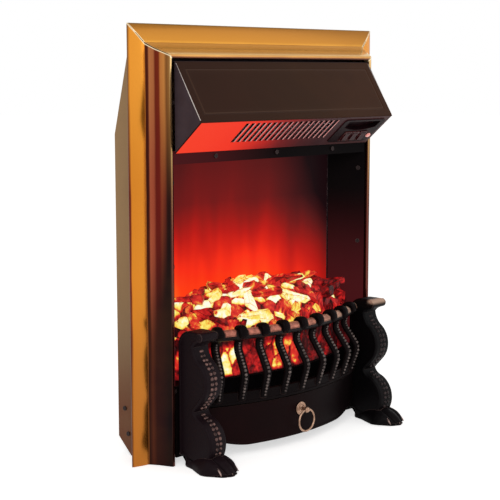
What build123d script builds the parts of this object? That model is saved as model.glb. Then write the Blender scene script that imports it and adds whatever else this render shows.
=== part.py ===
from build123d import *
from math import cos, degrees, hypot, radians, sin, sqrt
import os

# Electric fireplace insert: a brass-trimmed inset electric fire with a canopy fan heater, a lit
# flame screen, a moulded fuel bed and a cast fret on paw feet that stands on the hearth.
# Frame: X to the right, -Y to the front, Z up. The origin is where the wall plane meets the
# hearth, on the centre line. "Reach" is a distance in front of the wall plane, "depth" behind it.
# All sizes are in millimetres.

# Sheet and clearances
SHEET = 1.2
TOUCH_GAP = 0.3
SLIDE_GAP = 2.0
SEAT_GAP = 0.1
RUNNING_GAP = 0.05

# Brass trim, three mitred strips
TRIM_WIDTH = 500.0
TRIM_HEIGHT = 605.0
TRIM_SHEET = 1.2
TRIM_FACE = 48.0
BAND_WIDTH = 27.0
BAND_EDGE = 1.2
BAND_RISE = 7.0
BAND_CROWN = 1.1
NOSE_WIDTH = 7.0
NOSE_REACH = 40.0
LIP_DEPTH = 12.0
TRIM_BEND = 2.0
CORNER_LEG = 90.0
BRACKET_WIDTH = 10.0
BRACKET_INSET = 1.0
SLEEVE_SETBACK = 2.5

# Casing set in the wall opening, inside the trim's outline
CASING_INSET = 35.0
CASING_DROP = 30.0
SLOPE_DROP = 120.0
CASING_WIDTH = TRIM_WIDTH - 2 * CASING_INSET
CASING_DEPTH = 70.0
CASING_HEIGHT = TRIM_HEIGHT - CASING_DROP
CASING_TOP_DEPTH = 38.0
SLOPE_HEIGHT = CASING_HEIGHT - SLOPE_DROP
TOE_DEPTH = 43.0
TOE_HEIGHT = 24.0
FLANGE_WIDTH = 23.0
FLANGE_RISE = 18.0
PAN_UPSTAND = 16.0
PAN_REACH = 8.0
CASING_SCREWS = ((55.0, 67.0), (48.0, 31.0))
WALL_HOLE_RADIUS = 3.25
WALL_HOLE_INSET = 55.0
WALL_HOLE_LOW = 80.0
WALL_HOLE_DROP = 35.0

# Firebox between the trim and the flame screen
FRAME_REACH = 35.0
FIREBOX_GAP = 2.0
FIREBOX_SPLAY = 30.0
CEILING_DROP = 123.0
FIREBOX_WIDTH = TRIM_WIDTH - 2 * (TRIM_FACE + FIREBOX_GAP)
FIREBOX_BACK_WIDTH = FIREBOX_WIDTH - 2 * FIREBOX_SPLAY
SCREEN_DEPTH = 14.0
PLINTH_BOTTOM = 10.0
DECK_HEIGHT = 112.0
CEILING_HEIGHT = TRIM_HEIGHT - TRIM_FACE - CEILING_DROP
LINTEL_DROP = 17.0
CHEEK_FLANGE = 16.0
SCREEN_THICKNESS = 3.0
SCREEN_RISE = 53.0
SCREEN_BOTTOM = DECK_HEIGHT + SCREEN_RISE
SCREEN_REBATE = 9.0
POST_WIDTH = 24.0
POST_DEPTH = 26.0
SILL_DEPTH = 7.0
POST_RETURN = 12.0
SCREEN_LAP = 2.0
CHEEK_SCREW_DROP = 42.0
CHEEK_SCREW_RISE = 50.0
CHEEK_SCREWS = 3
CHEEK_SCREW_SETBACK = 10.0
LINTEL_SCREW_INSET = 78.0

# Hood over the firebox, with the heater outlet in its underside
HOOD_SIDE_GAP = 0.7
HOOD_LIP_DROP = 82.0
HOOD_WIDTH = FIREBOX_WIDTH - 2 * HOOD_SIDE_GAP
HOOD_TOP_GAP = 1.6
HOOD_TOP_REACH = 38.6
HOOD_LIP_REACH = 90.0
HOOD_LIP_HEIGHT = TRIM_HEIGHT - TRIM_FACE - HOOD_LIP_DROP
HOOD_HEEL_DROP = 1.8
HOOD_HEEL_REACH = 38.3
HOOD_BORDER_INSET = 12.0
HOOD_BORDER_WIDTH = 1.6
HOOD_BORDER_DEPTH = 0.4
GRILLE_INSET = 86.3
GRILLE_PITCH = 10.9
GRILLE_PANEL_GAP = 12.0
SLOT_WIDTH = 6.0
SLOT_LENGTH = 42.0
GRILLE_MIDDLE = 27.0

# Controls under the hood, to the right of the outlet
PANEL_INSET = 9.3
PANEL_WIDTH = 92.0
PANEL_NEAR = 7.0
PANEL_FAR = 60.0
PANEL_CORNER = 6.0
PANEL_SHEET = 1.5
POCKET_DEPTH = 6.5
ARCH_LENGTH = 72.0
ARCH_HEIGHT = 14.0
ARCH_RISE = 7.0
ARCH_NEAR = 9.0
SWITCH_INSET = 29.0
SWITCH_PITCH = 18.0
SWITCH_ALONG = 45.0
SWITCH_LENGTH = 21.0
SWITCH_WIDTH = 15.0
SWITCH_DEPTH = 16.0
SWITCH_FLANGE = 1.5
ROCKER_LENGTH = 16.0
ROCKER_WIDTH = 10.0
ROCKER_HEIGHT = 6.4
ROCKER_PROUD = 3.2
ROCKER_GAP = 1.0
ROCKER_PIN_RADIUS = 1.0
ROCKER_PIN_LENGTH = 1.2
ROCKER_PIVOT = 1.6
ROCKER_TILT = 8.0
LAMP_LENS_INSET = 9.0
LAMP_LENS_RADIUS = 3.0
LENS_PROUD = 2.4
LENS_DEPTH = 8.0

# Fan heater inside the hood
WHEEL_RADIUS = 22.0
WHEEL_END_ROOM = 10.1
WHEEL_BLADES = 20
WHEEL_BLADE = 7.0
WHEEL_SHAFT_RADIUS = 2.5
WHEEL_DISC = 1.6
HOUSING_GAP = 5.0
HOUSING_SHEET = 1.5
INTAKE_ANGLE = 110.0
ELEMENT_DEPTH = 14.0
ELEMENT_WALL = 2.0
ELEMENT_RIBBONS = 5
ELEMENT_RIBBON = 0.6
MOTOR_RADIUS = 19.0
MOTOR_LENGTH = 32.0
BEARING_RADIUS = 6.0
BEARING_LENGTH = 6.0
CUTOUT_RADIUS = 7.0
CUTOUT_HEIGHT = 6.0

# Flame effect behind the screen
SPINDLE_DEPTH = 44.0
SPINDLE_RISE = 28.0
SPINDLE_HEIGHT = DECK_HEIGHT + SPINDLE_RISE
SPINDLE_ROOM = 14.0
SPINDLE_OVERHANG = 4.0
SPINDLE_LENGTH = FIREBOX_BACK_WIDTH - 2 * SPINDLE_ROOM
BRACKET_DEPTH = 26.0
BRACKET_RISE = 16.0
BRACKET_FOOT = 12.0
BUSH_RADIUS = 5.0
BUSH_LENGTH = 7.0
SPINDLE_RADIUS = 3.0
FOIL_RADIUS = 15.0
FOIL_LEAN = 35.0
FOIL_END_GAP = 8.0
FOIL_WIDTH = 14.0
FOIL_PITCH = 18.0
FOIL_SHEET = 0.6
FOIL_TURN = 50.0
SPINDLE_MOTOR_RADIUS = 20.0
SPINDLE_MOTOR_LENGTH = 16.0
MASK_DEPTH = 26.0
MASK_DROP = 84.0
FLAME_PITCH = 42.0
FLAME_WIDTH = 24.0
FLAME_DROPS = (60.0, 25.0, 50.0, 0.0, 40.0, 20.0, 55.0)
FLAME_FOOT = 12.0
FLAME_HEAD = 23.0
FLAME_BELLY = 0.4
REFLECTOR_DROP = 94.0
REFLECTOR_FOLD = 14.0
LAMP_RADIUS = 17.5
LAMP_LENGTH = 82.0
LAMP_BASE_RADIUS = 8.0
LAMP_REACH = 8.0
LAMP_CLEARANCE = 3.0
LAMP_BASE = 16.0
HOLDER_RADIUS = 12.0
HOLDER_LENGTH = 26.0
HOLDER_INSET = 42.0

# Cast fret on paw feet; its rail, ribs and bar follow one arc in plan
FRET_BOW = 40.0
FRET_REACH = 85.0
RAIL_HEIGHT = 176.0
RAIL_RADIUS = 8.0
RAIL_INSET = 1.0
RIBS = 9
RIB_END_ROOM = 3.0
RIB_WIDTH = 13.0
RIB_THICKNESS = 7.0
RIB_TOP = 182.0
RIB_NECK = 11.5
RIB_NECK_CORNER = 14.5
RIB_NECK_HEIGHT = 161.0
RIB_BULGE_CORNER = 14.0
RIB_BULGE_HEIGHT = 121.0
RIB_BEND = 16.0
RIB_RIDGE_WIDTH = 6.0
RIB_RIDGE = 1.4
BAR_TOP = 94.0
BAR_BOTTOM = 77.0
BAR_THICKNESS = 9.0
LEG_SIDE_GAP = 6.0
LEG_WIDTH = 31.0
LEG_DOME = 22.0
LEG_NECK = ((66.0, 170.0), (69.0, 160.0), (76.0, 151.0))
LEG_BULGE = ((76.0, 151.0), (92.6, 121.0), (84.0, 98.0))
LEG_WAIST = ((67.0, 80.0), (70.5, 74.5), (77.0, 70.5))
LEG_KNEE = ((77.0, 70.5), (101.5, 41.0), (97.0, 19.0))
SCROLL_RADIUS = 6.5
SCROLL_REACH = 79.0
SCROLL_HEIGHT = 185.0
PAW_WIDTH = 58.0
PAW_REACH = 130.0
PAW_HEEL = 18.0
PAW_HEEL_REACH = 48.0
PAW_INSTEP = 22.0
PAW_TIP = 7.0
LEG_FOOT = 13.0
TOES = 3
TOE_HEEL_REACH = 66.0
TOE_ROUND = 5.0
TOE_STEP = 12.0
LUG_LENGTH = 22.0
LUG_REACH = 45.0
LUG_DEPTH = 10.0
LUG_TOP = 34.0
LUG_HEIGHT = 6.0
BOLT_RADIUS = 2.5
BOLT_HEAD_RADIUS = 4.5
BOLT_HEAD = 3.0
BOLT_LENGTH = 14.0
BOLT_BITE = 8.0

# Bowed ash-pan cover with its ring pull
COVER_TOP = 75.0
COVER_BOTTOM = 15.0
COVER_SHEET = 2.0
COVER_PROUD = 1.0
COVER_RIM = 4.0
COVER_RIM_PROUD = 1.2
COVER_FOLD = 10.0
COVER_SIDE_GAP = 3.0
COVER_SWEEP = 73.0
COVER_SWEEP_MIDDLE = (35.0, 21.0)
COVER_LEDGE = 13.0
ROSETTE_RADIUS = 10.0
ROSETTE_THICKNESS = 2.6
ROSETTE_HEIGHT = 53.0
STUD_RADIUS = 2.0
NECK_RADIUS = 2.6
BALL_RADIUS = 4.6
BALL_REACH = 12.0
EYE_RADIUS = 2.1
RING_RADIUS = 16.0
RING_WIRE = 1.5

# Moulded fuel bed
BED_WALL = 2.5
BED_FRONT_GAP = 3.0
BED_SHOULDER = 172.0
BED_KNEE = 205.0
BED_CREST = 226.0
BED_KNEE_RUN = 22.0
BED_CREST_RUN = 44.0
CHIP_ROWS = 5
CHIP_PITCH = 31.0
CHIP_LENGTH = 30.0
CHIP_WIDTH = 13.0
CHIP_HEIGHT = 10.0
CHIP_TAPER = 12.0
CHIP_COLUMNS = 6
CHIP_TURN = 24.0
CHIP_ROOT = 6.0
CHIP_ROOM = 30.0
BED_SIDE_GAP = 2.0
BED_REAR_GAP = 2.0

# Fasteners and the supply cable's way in
SCREW_HEAD_RADIUS = 3.2
SCREW_HEAD = 1.8
SCREW_SHANK_RADIUS = 1.6
SCREW_SHANK = 5.0
TRIM_SCREW_END = 105.0
TRIM_SCREW_INSET = 4.5
GLAND_INSET = 65.0
GLAND_HEIGHT = 60.0
GLAND_RADIUS = 6.0
GLAND_BORE = 3.6
GLAND_FLANGE = 9.0
GLAND_LENGTH = 14.0
GLAND_RIM = 3.0
TERMINAL_DEPTH = 12.0
TERMINAL_SIZE = (34.0, 16.0, 20.0)

# Places worked out from the sizes above
casing_half = CASING_WIDTH / 2
trim_half = TRIM_WIDTH / 2
opening_half = trim_half - TRIM_FACE
opening_top = TRIM_HEIGHT - TRIM_FACE
firebox_half = FIREBOX_WIDTH / 2
back_half = FIREBOX_BACK_WIDTH / 2
deck_bottom = DECK_HEIGHT - SHEET
leg_outside = opening_half - LEG_SIDE_GAP
leg_inside = leg_outside - LEG_WIDTH
leg_middle = leg_outside - LEG_WIDTH / 2
fret_radius = (leg_inside ** 2 + FRET_BOW ** 2) / (2 * FRET_BOW)
hood_half = HOOD_WIDTH / 2
hood_top = opening_top - HOOD_TOP_GAP
hood_heel = CEILING_HEIGHT - HOOD_HEEL_DROP
arc_centre_y = fret_radius - FRET_REACH


def block(x_range, y_range, z_range):
    """A box between the given ranges along X, Y and Z."""
    sizes = [abs(high - low) for low, high in (x_range, y_range, z_range)]
    middle = [(high + low) / 2 for low, high in (x_range, y_range, z_range)]
    return Pos(*middle) * Box(*sizes)


def prism_x(outline, x_range):
    """Extrude an outline in (y, z) along X."""
    face = Plane.YZ.offset(min(x_range)) * make_face(outline)
    return extrude(face, amount=abs(x_range[1] - x_range[0]), dir=(1, 0, 0))


def prism_z(outline, z_range):
    """Extrude an outline in (x, y) along Z."""
    face = Pos(0, 0, min(z_range)) * make_face(outline)
    return extrude(face, amount=abs(z_range[1] - z_range[0]), dir=(0, 0, 1))


def ring_of(points):
    """The closed outline through the points."""
    return Polyline(*points, close=True)


def folded(points, thickness=SHEET, side=Side.LEFT):
    """The section of a sheet folded along the points, thickened to one side of them."""
    return offset(Polyline(*points), thickness, side=side).edges()


def rod_x(x_range, y, z, radius):
    """A round bar along X."""
    middle = (x_range[0] + x_range[1]) / 2
    return Pos(middle, y, z) * Rot(0, 90, 0) * Cylinder(radius, abs(x_range[1] - x_range[0]))


def rod_y(x, y_range, z, radius):
    """A round bar along Y."""
    middle = (y_range[0] + y_range[1]) / 2
    return Pos(x, middle, z) * Rot(90, 0, 0) * Cylinder(radius, abs(y_range[1] - y_range[0]))


def mirrored(shape):
    """The same shape on the other side of the centre line."""
    return mirror(shape, about=Plane.YZ)


def write(node, *shapes):
    """Write one node, as the separate solids of its shapes."""
    solids = [solid for shape in shapes for solid in shape.solids()]
    model = solids[0] if len(solids) == 1 else Compound(solids)
    export_step(model, f"parts/{node}.step")


def pan_screw(place, direction, shank):
    """A pan-head screw: place is under the head, and the shank runs along direction."""
    plane = Plane(origin=place, z_dir=direction)
    head = plane * Pos(0, 0, -SCREW_HEAD / 2) * Cylinder(SCREW_HEAD_RADIUS, SCREW_HEAD)
    body = plane * Pos(0, 0, shank / 2) * Cylinder(SCREW_SHANK_RADIUS, shank)
    return head + body


def shank_hole(place, direction, length):
    """The hole that a screw's shank fits, through both sheets."""
    plane = Plane(origin=place, z_dir=direction)
    return plane * Cylinder(SCREW_SHANK_RADIUS + RUNNING_GAP, 2 * length)


os.makedirs("parts", exist_ok=True)


# Brass trim
def trim_section():
    """Section of a strip: x runs inwards from the outer edge, y is the reach from the wall."""
    band = ThreePointArc(
        (0, BAND_EDGE),
        (BAND_WIDTH / 2, (BAND_EDGE + BAND_RISE) / 2 + BAND_CROWN),
        (BAND_WIDTH, BAND_RISE),
    )
    slope = FilletPolyline(
        (BAND_WIDTH, BAND_RISE),
        (TRIM_FACE - NOSE_WIDTH, NOSE_REACH),
        (TRIM_FACE, NOSE_REACH),
        (TRIM_FACE, NOSE_REACH - LIP_DEPTH),
        radius=TRIM_BEND,
    )
    path = Wire(band.edges() + slope.edges())
    return make_face(offset(path, TRIM_SHEET, side=Side.RIGHT).edges())


def mitre_wedge(points):
    """A block whose outline in (x, z) keeps one strip's share of the mitred corners."""
    face = Plane.XZ * make_face(ring_of(points))
    return extrude(face, amount=2 * NOSE_REACH, both=True)


section = trim_section()
side_plane = Plane(origin=(-trim_half, 0, 0), x_dir=(1, 0, 0), z_dir=(0, 0, -1))
side_strip = extrude(side_plane * section, amount=TRIM_HEIGHT, dir=(0, 0, 1))
side_share = mitre_wedge([(-trim_half, 0), (-opening_half, 0), (-opening_half, opening_top),
                          (-trim_half, TRIM_HEIGHT)])
trim_side = side_strip & side_share
top_plane = Plane(origin=(-trim_half, 0, TRIM_HEIGHT), x_dir=(0, 0, -1), z_dir=(-1, 0, 0))
top_strip = extrude(top_plane * section, amount=TRIM_WIDTH, dir=(1, 0, 0))
top_share = mitre_wedge([(-trim_half, TRIM_HEIGHT), (-opening_half, opening_top),
                         (opening_half, opening_top), (trim_half, TRIM_HEIGHT)])
trim_top = top_strip & top_share

screw_reach = NOSE_REACH - TRIM_SCREW_INSET
trim_screw_heights = (TRIM_SCREW_END, TRIM_HEIGHT - TRIM_SCREW_END)
trim_screws = []
for height in trim_screw_heights:
    place = (-opening_half, -screw_reach, height)
    trim_side -= shank_hole(place, (-1, 0, 0), SCREW_SHANK)
    trim_screws.append(pan_screw(place, (-1, 0, 0), SCREW_SHANK))

bracket_outer = BAND_WIDTH - BRACKET_WIDTH - BRACKET_INSET
bracket_x = -trim_half + bracket_outer
bracket_z = TRIM_HEIGHT - bracket_outer
bracket_outline = ring_of([
    (bracket_x, bracket_z),
    (bracket_x + CORNER_LEG, bracket_z),
    (bracket_x + CORNER_LEG, bracket_z - BRACKET_WIDTH),
    (bracket_x + BRACKET_WIDTH, bracket_z - BRACKET_WIDTH),
    (bracket_x + BRACKET_WIDTH, bracket_z - CORNER_LEG),
    (bracket_x, bracket_z - CORNER_LEG),
])
corner_bracket = extrude(Plane.XZ.offset(2 * SHEET) * make_face(bracket_outline), amount=SHEET,
                         dir=(0, -1, 0))

write("trim_left", trim_side)
write("trim_right", mirrored(trim_side))
write("trim_top", trim_top)
write("trim_screws", *trim_screws, *[mirrored(screw) for screw in trim_screws])
write("corner_brackets", corner_bracket, mirrored(corner_bracket))


# Casing behind the wall plane
lip_rear = LIP_DEPTH - NOSE_REACH + SEAT_GAP
lip_room = block((opening_half - SEAT_GAP, trim_half), (-2 * NOSE_REACH, lip_rear), (-SHEET, TRIM_HEIGHT))
lips_room = [lip_room, mirrored(lip_room)]


def casing_outline():
    """Side view of the casing in (y, z)."""
    return ring_of([(0, 0), (TOE_DEPTH, 0), (CASING_DEPTH, TOE_HEIGHT), (CASING_DEPTH, SLOPE_HEIGHT),
                    (CASING_TOP_DEPTH, CASING_HEIGHT), (0, CASING_HEIGHT)])


inside_half = casing_half - SHEET
flange_top = CASING_HEIGHT + FLANGE_RISE
casing_side = prism_x(casing_outline(), (inside_half, casing_half))
casing_side += block((inside_half, casing_half + FLANGE_WIDTH), (-SHEET, 0), (0, flange_top))
casing_screws = []
for depth, height in CASING_SCREWS:
    place = (casing_half, depth, height)
    casing_side -= shank_hole(place, (-1, 0, 0), SCREW_SHANK)
    casing_screws.append(pan_screw(place, (-1, 0, 0), SCREW_SHANK))

top_path = [(0, CASING_HEIGHT), (CASING_TOP_DEPTH, CASING_HEIGHT), (CASING_DEPTH, SLOPE_HEIGHT)]
casing_top = prism_x(folded(top_path, side=Side.RIGHT), (-inside_half, inside_half))
casing_top += block((-inside_half, inside_half), (-SHEET, 0), (CASING_HEIGHT - SHEET, flange_top))

sleeve_inside = opening_half + TRIM_SHEET + SEAT_GAP
sleeve_outside = sleeve_inside + SHEET
sleeve_top = opening_top - SHEET
sleeve = block((sleeve_inside, sleeve_outside), (-(NOSE_REACH - SLEEVE_SETBACK), -SHEET),
               (0, sleeve_top))
sleeve += block((sleeve_inside, casing_half + FLANGE_WIDTH - SLIDE_GAP), (-2 * SHEET, -SHEET),
                (0, sleeve_top))
for height in trim_screw_heights:
    sleeve -= shank_hole((opening_half, -screw_reach, height), (1, 0, 0), 2 * SCREW_SHANK)

pan_path = [(-PAN_REACH, 0), (TOE_DEPTH, 0), (CASING_DEPTH, TOE_HEIGHT)]
base_pan = prism_x(folded(pan_path), (-inside_half, inside_half))
base_pan += block((-inside_half, inside_half), (CASING_DEPTH - 2 * SHEET, CASING_DEPTH - SHEET),
                  (TOE_HEIGHT - SHEET, TOE_HEIGHT + PAN_UPSTAND))
for side in (-1, 1):
    base_pan -= block((side * sleeve_inside, side * casing_half), (-NOSE_REACH, 0), (-SHEET, 2 * SHEET))

base_pan -= lips_room

casing_back = block((-inside_half, inside_half), (CASING_DEPTH - SHEET, CASING_DEPTH),
                    (TOE_HEIGHT, SLOPE_HEIGHT)) - casing_top - base_pan
wall_hole_x = casing_half - WALL_HOLE_INSET
for side in (-1, 1):
    for height in (WALL_HOLE_LOW, SLOPE_HEIGHT - WALL_HOLE_DROP):
        casing_back -= rod_y(side * wall_hole_x, (0, 2 * CASING_DEPTH), height, WALL_HOLE_RADIUS)
gland_x = casing_half - GLAND_INSET
casing_back -= rod_y(gland_x, (0, 2 * CASING_DEPTH), GLAND_HEIGHT, GLAND_RADIUS + RUNNING_GAP)

gland_inside = CASING_DEPTH - SHEET
cable_gland = rod_y(gland_x, (CASING_DEPTH + GLAND_RIM - GLAND_LENGTH, CASING_DEPTH + GLAND_RIM),
                    GLAND_HEIGHT, GLAND_RADIUS)
cable_gland += rod_y(gland_x, (CASING_DEPTH, CASING_DEPTH + GLAND_RIM), GLAND_HEIGHT, GLAND_FLANGE)
cable_gland += rod_y(gland_x, (gland_inside - GLAND_RIM, gland_inside), GLAND_HEIGHT, GLAND_FLANGE)
cable_gland -= rod_y(gland_x, (0, 2 * CASING_DEPTH), GLAND_HEIGHT, GLAND_BORE)

terminal_depth, terminal_width, terminal_height = TERMINAL_SIZE
terminal_block = block((inside_half - terminal_width, inside_half),
                       (TERMINAL_DEPTH, TERMINAL_DEPTH + terminal_depth),
                       (GLAND_HEIGHT, GLAND_HEIGHT + terminal_height))

write("casing_right", casing_side)
write("casing_left", mirrored(casing_side))
write("casing_top", casing_top)
write("casing_back", casing_back)
write("base_pan", base_pan)
write("sleeve_right", sleeve)
write("sleeve_left", mirrored(sleeve))
write("casing_screws", *casing_screws, *[mirrored(screw) for screw in casing_screws])
write("cable_gland", cable_gland)
write("terminal_block", terminal_block)

# Firebox: plinth, deck, splayed cheeks, lintel, ceiling and the posts that hold the screen
frame_half = firebox_half - SHEET
frame_back = -FRAME_REACH + SHEET
plinth = block((-frame_half, frame_half), (-FRAME_REACH, frame_back), (PLINTH_BOTTOM, deck_bottom))

rib_back = RIB_NECK + RIB_THICKNESS / 2
bed_radius = fret_radius - rib_back - BED_FRONT_GAP
deck_radius = bed_radius + SHEET
deck_half = sleeve_inside - SEAT_GAP
deck = block((-deck_half, deck_half), (-FRAME_REACH, gland_inside), (deck_bottom, DECK_HEIGHT))
deck_front = Pos(0, arc_centre_y, DECK_HEIGHT - SHEET / 2) * Cylinder(deck_radius, SHEET)
deck += deck_front & block((-leg_inside, leg_inside), (-NOSE_REACH - FRET_REACH, -FRAME_REACH),
                           (deck_bottom, DECK_HEIGHT))
deck -= lips_room

cheek_path = [(firebox_half, -FRAME_REACH), (back_half, SCREEN_DEPTH),
              (back_half + CHEEK_FLANGE, SCREEN_DEPTH)]
cheek = prism_z(folded(cheek_path, side=Side.RIGHT), (DECK_HEIGHT, CEILING_HEIGHT))
cheek_run = (firebox_half - back_half, FRAME_REACH + SCREEN_DEPTH)
cheek_length = hypot(*cheek_run)
outward = (cheek_run[1] / cheek_length, cheek_run[0] / cheek_length, 0)
cheek_screw_low = DECK_HEIGHT + CHEEK_SCREW_RISE
cheek_screw_step = (CEILING_HEIGHT - CHEEK_SCREW_DROP - cheek_screw_low) / (CHEEK_SCREWS - 1)
cheek_screws = []
for index in range(CHEEK_SCREWS):
    height = cheek_screw_low + index * cheek_screw_step
    share = CHEEK_SCREW_SETBACK / cheek_length
    place = (firebox_half - share * cheek_run[0], -FRAME_REACH + share * cheek_run[1], height)
    cheek -= shank_hole(place, outward, SCREW_SHANK)
    cheek_screws.append(pan_screw(place, outward, SCREW_SHANK))

lintel_bottom = CEILING_HEIGHT - LINTEL_DROP
lintel = block((-frame_half, frame_half), (-FRAME_REACH, frame_back),
               (lintel_bottom, CEILING_HEIGHT + SHEET))
ceiling = block((-deck_half, deck_half), (frame_back, gland_inside),
                (CEILING_HEIGHT, CEILING_HEIGHT + SHEET))
ceiling += block((-frame_half + SLIDE_GAP, frame_half - SLIDE_GAP), (frame_back, frame_back + SHEET),
                 (lintel_bottom, CEILING_HEIGHT))
ceiling -= lips_room
lintel_screw_x = firebox_half - LINTEL_SCREW_INSET
lintel_screws = []
for step in (-1, 0, 1):
    place = (step * lintel_screw_x, -FRAME_REACH, CEILING_HEIGHT - LINTEL_DROP / 2)
    lintel -= shank_hole(place, (0, 1, 0), SCREW_SHANK)
    ceiling -= shank_hole(place, (0, 1, 0), SCREW_SHANK)
    lintel_screws.append(pan_screw(place, (0, 1, 0), SCREW_SHANK))

post_inner = back_half - SCREEN_LAP
post_outer = post_inner + POST_WIDTH
post_path = [(post_inner, SCREEN_DEPTH), (post_outer, SCREEN_DEPTH),
             (post_outer, SCREEN_DEPTH + POST_DEPTH),
             (post_outer - POST_RETURN, SCREEN_DEPTH + POST_DEPTH)]
post = prism_z(folded(post_path), (DECK_HEIGHT, CEILING_HEIGHT))
screen_front = SCREEN_DEPTH + SHEET
screen_half = post_inner + SCREEN_REBATE
sill = block((-screen_half, screen_half), (screen_front, screen_front + SILL_DEPTH),
             (SCREEN_BOTTOM - SHEET, SCREEN_BOTTOM))
screen = block((-screen_half, screen_half), (screen_front, screen_front + SCREEN_THICKNESS),
               (SCREEN_BOTTOM, CEILING_HEIGHT))

write("plinth_front", plinth)
write("firebox_deck", deck)
write("cheek_right", cheek)
write("cheek_left", mirrored(cheek))
write("cheek_screws", *cheek_screws, *[mirrored(screw) for screw in cheek_screws])
write("lintel", lintel)
write("lintel_screws", *lintel_screws)
write("ceiling_plate", ceiling)
write("screen_post_right", post)
write("screen_post_left", mirrored(post))
write("screen_sill", sill)
write("flame_screen", screen)


# Hood: a folded canopy, and in its underside the heater's outlet and the controls
def hood_point(along, inwards):
    """A point of the hood in (y, z): along its underside from the lip, and inwards from it."""
    run = (HOOD_LIP_REACH - HOOD_HEEL_REACH, hood_heel - HOOD_LIP_HEIGHT)
    length = hypot(*run)
    step = (run[0] / length, run[1] / length)
    y = -HOOD_LIP_REACH + along * step[0] - inwards * step[1]
    z = HOOD_LIP_HEIGHT + along * step[1] + inwards * step[0]
    return y, z


def hood_plane(x, along=0.0, inwards=0.0):
    """A plane across the hood: local x is along the underside, y inwards, z is +X."""
    y, z = hood_point(along, inwards)
    ahead = hood_point(along + 1, inwards)
    return Plane(origin=(x, y, z), x_dir=(0, ahead[0] - y, ahead[1] - z), z_dir=(1, 0, 0))


def hood_block(x_range, along_range, inwards_range):
    """A box in the hood's slanted frame."""
    sizes = [abs(high - low) for low, high in (along_range, inwards_range, x_range)]
    middle = [(high + low) / 2 for low, high in (along_range, inwards_range, x_range)]
    return hood_plane(0) * Pos(*middle) * Box(*sizes)


top_point = (-HOOD_TOP_REACH, hood_top)
lip_point = (-HOOD_LIP_REACH, HOOD_LIP_HEIGHT)
heel_point = (-HOOD_HEEL_REACH, hood_heel)
underside = hypot(HOOD_LIP_REACH - HOOD_HEEL_REACH, HOOD_LIP_HEIGHT - hood_heel)

canopy = prism_x(folded([top_point, lip_point]), (-hood_half, hood_half))
for side in (-1, 1):
    canopy += prism_x(ring_of([top_point, lip_point, heel_point]),
                      (side * (hood_half - SHEET), side * hood_half))
canopy += block((-hood_half, hood_half), (-HOOD_TOP_REACH, -SHEET), (hood_top - SHEET, hood_top))
canopy += block((-hood_half, hood_half), (-2 * SHEET, -SHEET), (hood_top - SHEET, flange_top - SLIDE_GAP))

front_run = (HOOD_LIP_REACH - HOOD_TOP_REACH, hood_top - HOOD_LIP_HEIGHT)
front_length = hypot(*front_run)
front_plane = Plane(origin=(0, -(HOOD_LIP_REACH + HOOD_TOP_REACH) / 2, (HOOD_LIP_HEIGHT + hood_top) / 2),
                    x_dir=(1, 0, 0), z_dir=(0, -front_run[1], front_run[0]))
border_width = HOOD_WIDTH - 2 * HOOD_BORDER_INSET
border_height = front_length - 2 * HOOD_BORDER_INSET
border = Rectangle(border_width, border_height) - Rectangle(border_width - 2 * HOOD_BORDER_WIDTH,
                                                            border_height - 2 * HOOD_BORDER_WIDTH)
canopy -= extrude(front_plane * border, amount=HOOD_BORDER_DEPTH, both=True)

grille_half = hood_half - SHEET - SEAT_GAP
grille_path = [hood_point(SHEET + SEAT_GAP, 0), heel_point, (-FRAME_REACH, hood_heel)]
grille = prism_x(folded(grille_path), (-grille_half, grille_half))
panel_right = hood_half - PANEL_INSET
panel_left = panel_right - PANEL_WIDTH
panel_middle = panel_right - PANEL_WIDTH / 2
grille_left = GRILLE_INSET - hood_half
grille_slots = int((panel_left - GRILLE_PANEL_GAP - grille_left) / GRILLE_PITCH)
grille_right = grille_left + grille_slots * GRILLE_PITCH
slot_near = GRILLE_MIDDLE - SLOT_LENGTH / 2
slot_far = GRILLE_MIDDLE + SLOT_LENGTH / 2
slots = [hood_block((grille_left + (index + 0.5) * GRILLE_PITCH - SLOT_WIDTH / 2,
                     grille_left + (index + 0.5) * GRILLE_PITCH + SLOT_WIDTH / 2),
                    (slot_near, slot_far), (-SHEET, 2 * SHEET)) for index in range(grille_slots)]
grille -= slots

# Controls: a moulded panel, three rocker switches and an indicator
panel = hood_block((panel_left, panel_right), (PANEL_NEAR, PANEL_FAR), (-PANEL_SHEET, 0))
inwards_axis = Axis(hood_plane(0).origin, hood_plane(0).y_dir)
panel = fillet(panel.edges().filter_by(inwards_axis), PANEL_CORNER)
pocket_left = panel_middle - ARCH_LENGTH / 2
pocket_right = panel_middle + ARCH_LENGTH / 2
panel += hood_block((pocket_left - PANEL_SHEET, pocket_right + PANEL_SHEET),
                    (ARCH_NEAR, ARCH_NEAR + ARCH_HEIGHT + ARCH_RISE + 2 * PANEL_SHEET),
                    (0, POCKET_DEPTH + PANEL_SHEET))
arch_far = ARCH_NEAR + PANEL_SHEET + ARCH_HEIGHT
arch_outline = make_face(
    ThreePointArc((pocket_left, arch_far), (panel_middle, arch_far + ARCH_RISE), (pocket_right, arch_far))
    + Polyline((pocket_right, arch_far), (pocket_right, ARCH_NEAR + PANEL_SHEET),
               (pocket_left, ARCH_NEAR + PANEL_SHEET), (pocket_left, arch_far))
)
arch_plane = hood_plane(0)
arch_frame = Plane(origin=arch_plane.origin, x_dir=(1, 0, 0), z_dir=-arch_plane.y_dir)
panel -= extrude(arch_frame * mirror(arch_outline, about=Plane.XZ), amount=POCKET_DEPTH, both=True)
window = hood_block((pocket_left - 2 * PANEL_SHEET, pocket_right + 2 * PANEL_SHEET),
                    (ARCH_NEAR - SEAT_GAP, SWITCH_ALONG + SWITCH_LENGTH / 2), (-SHEET, 2 * SHEET))
grille -= window

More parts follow.
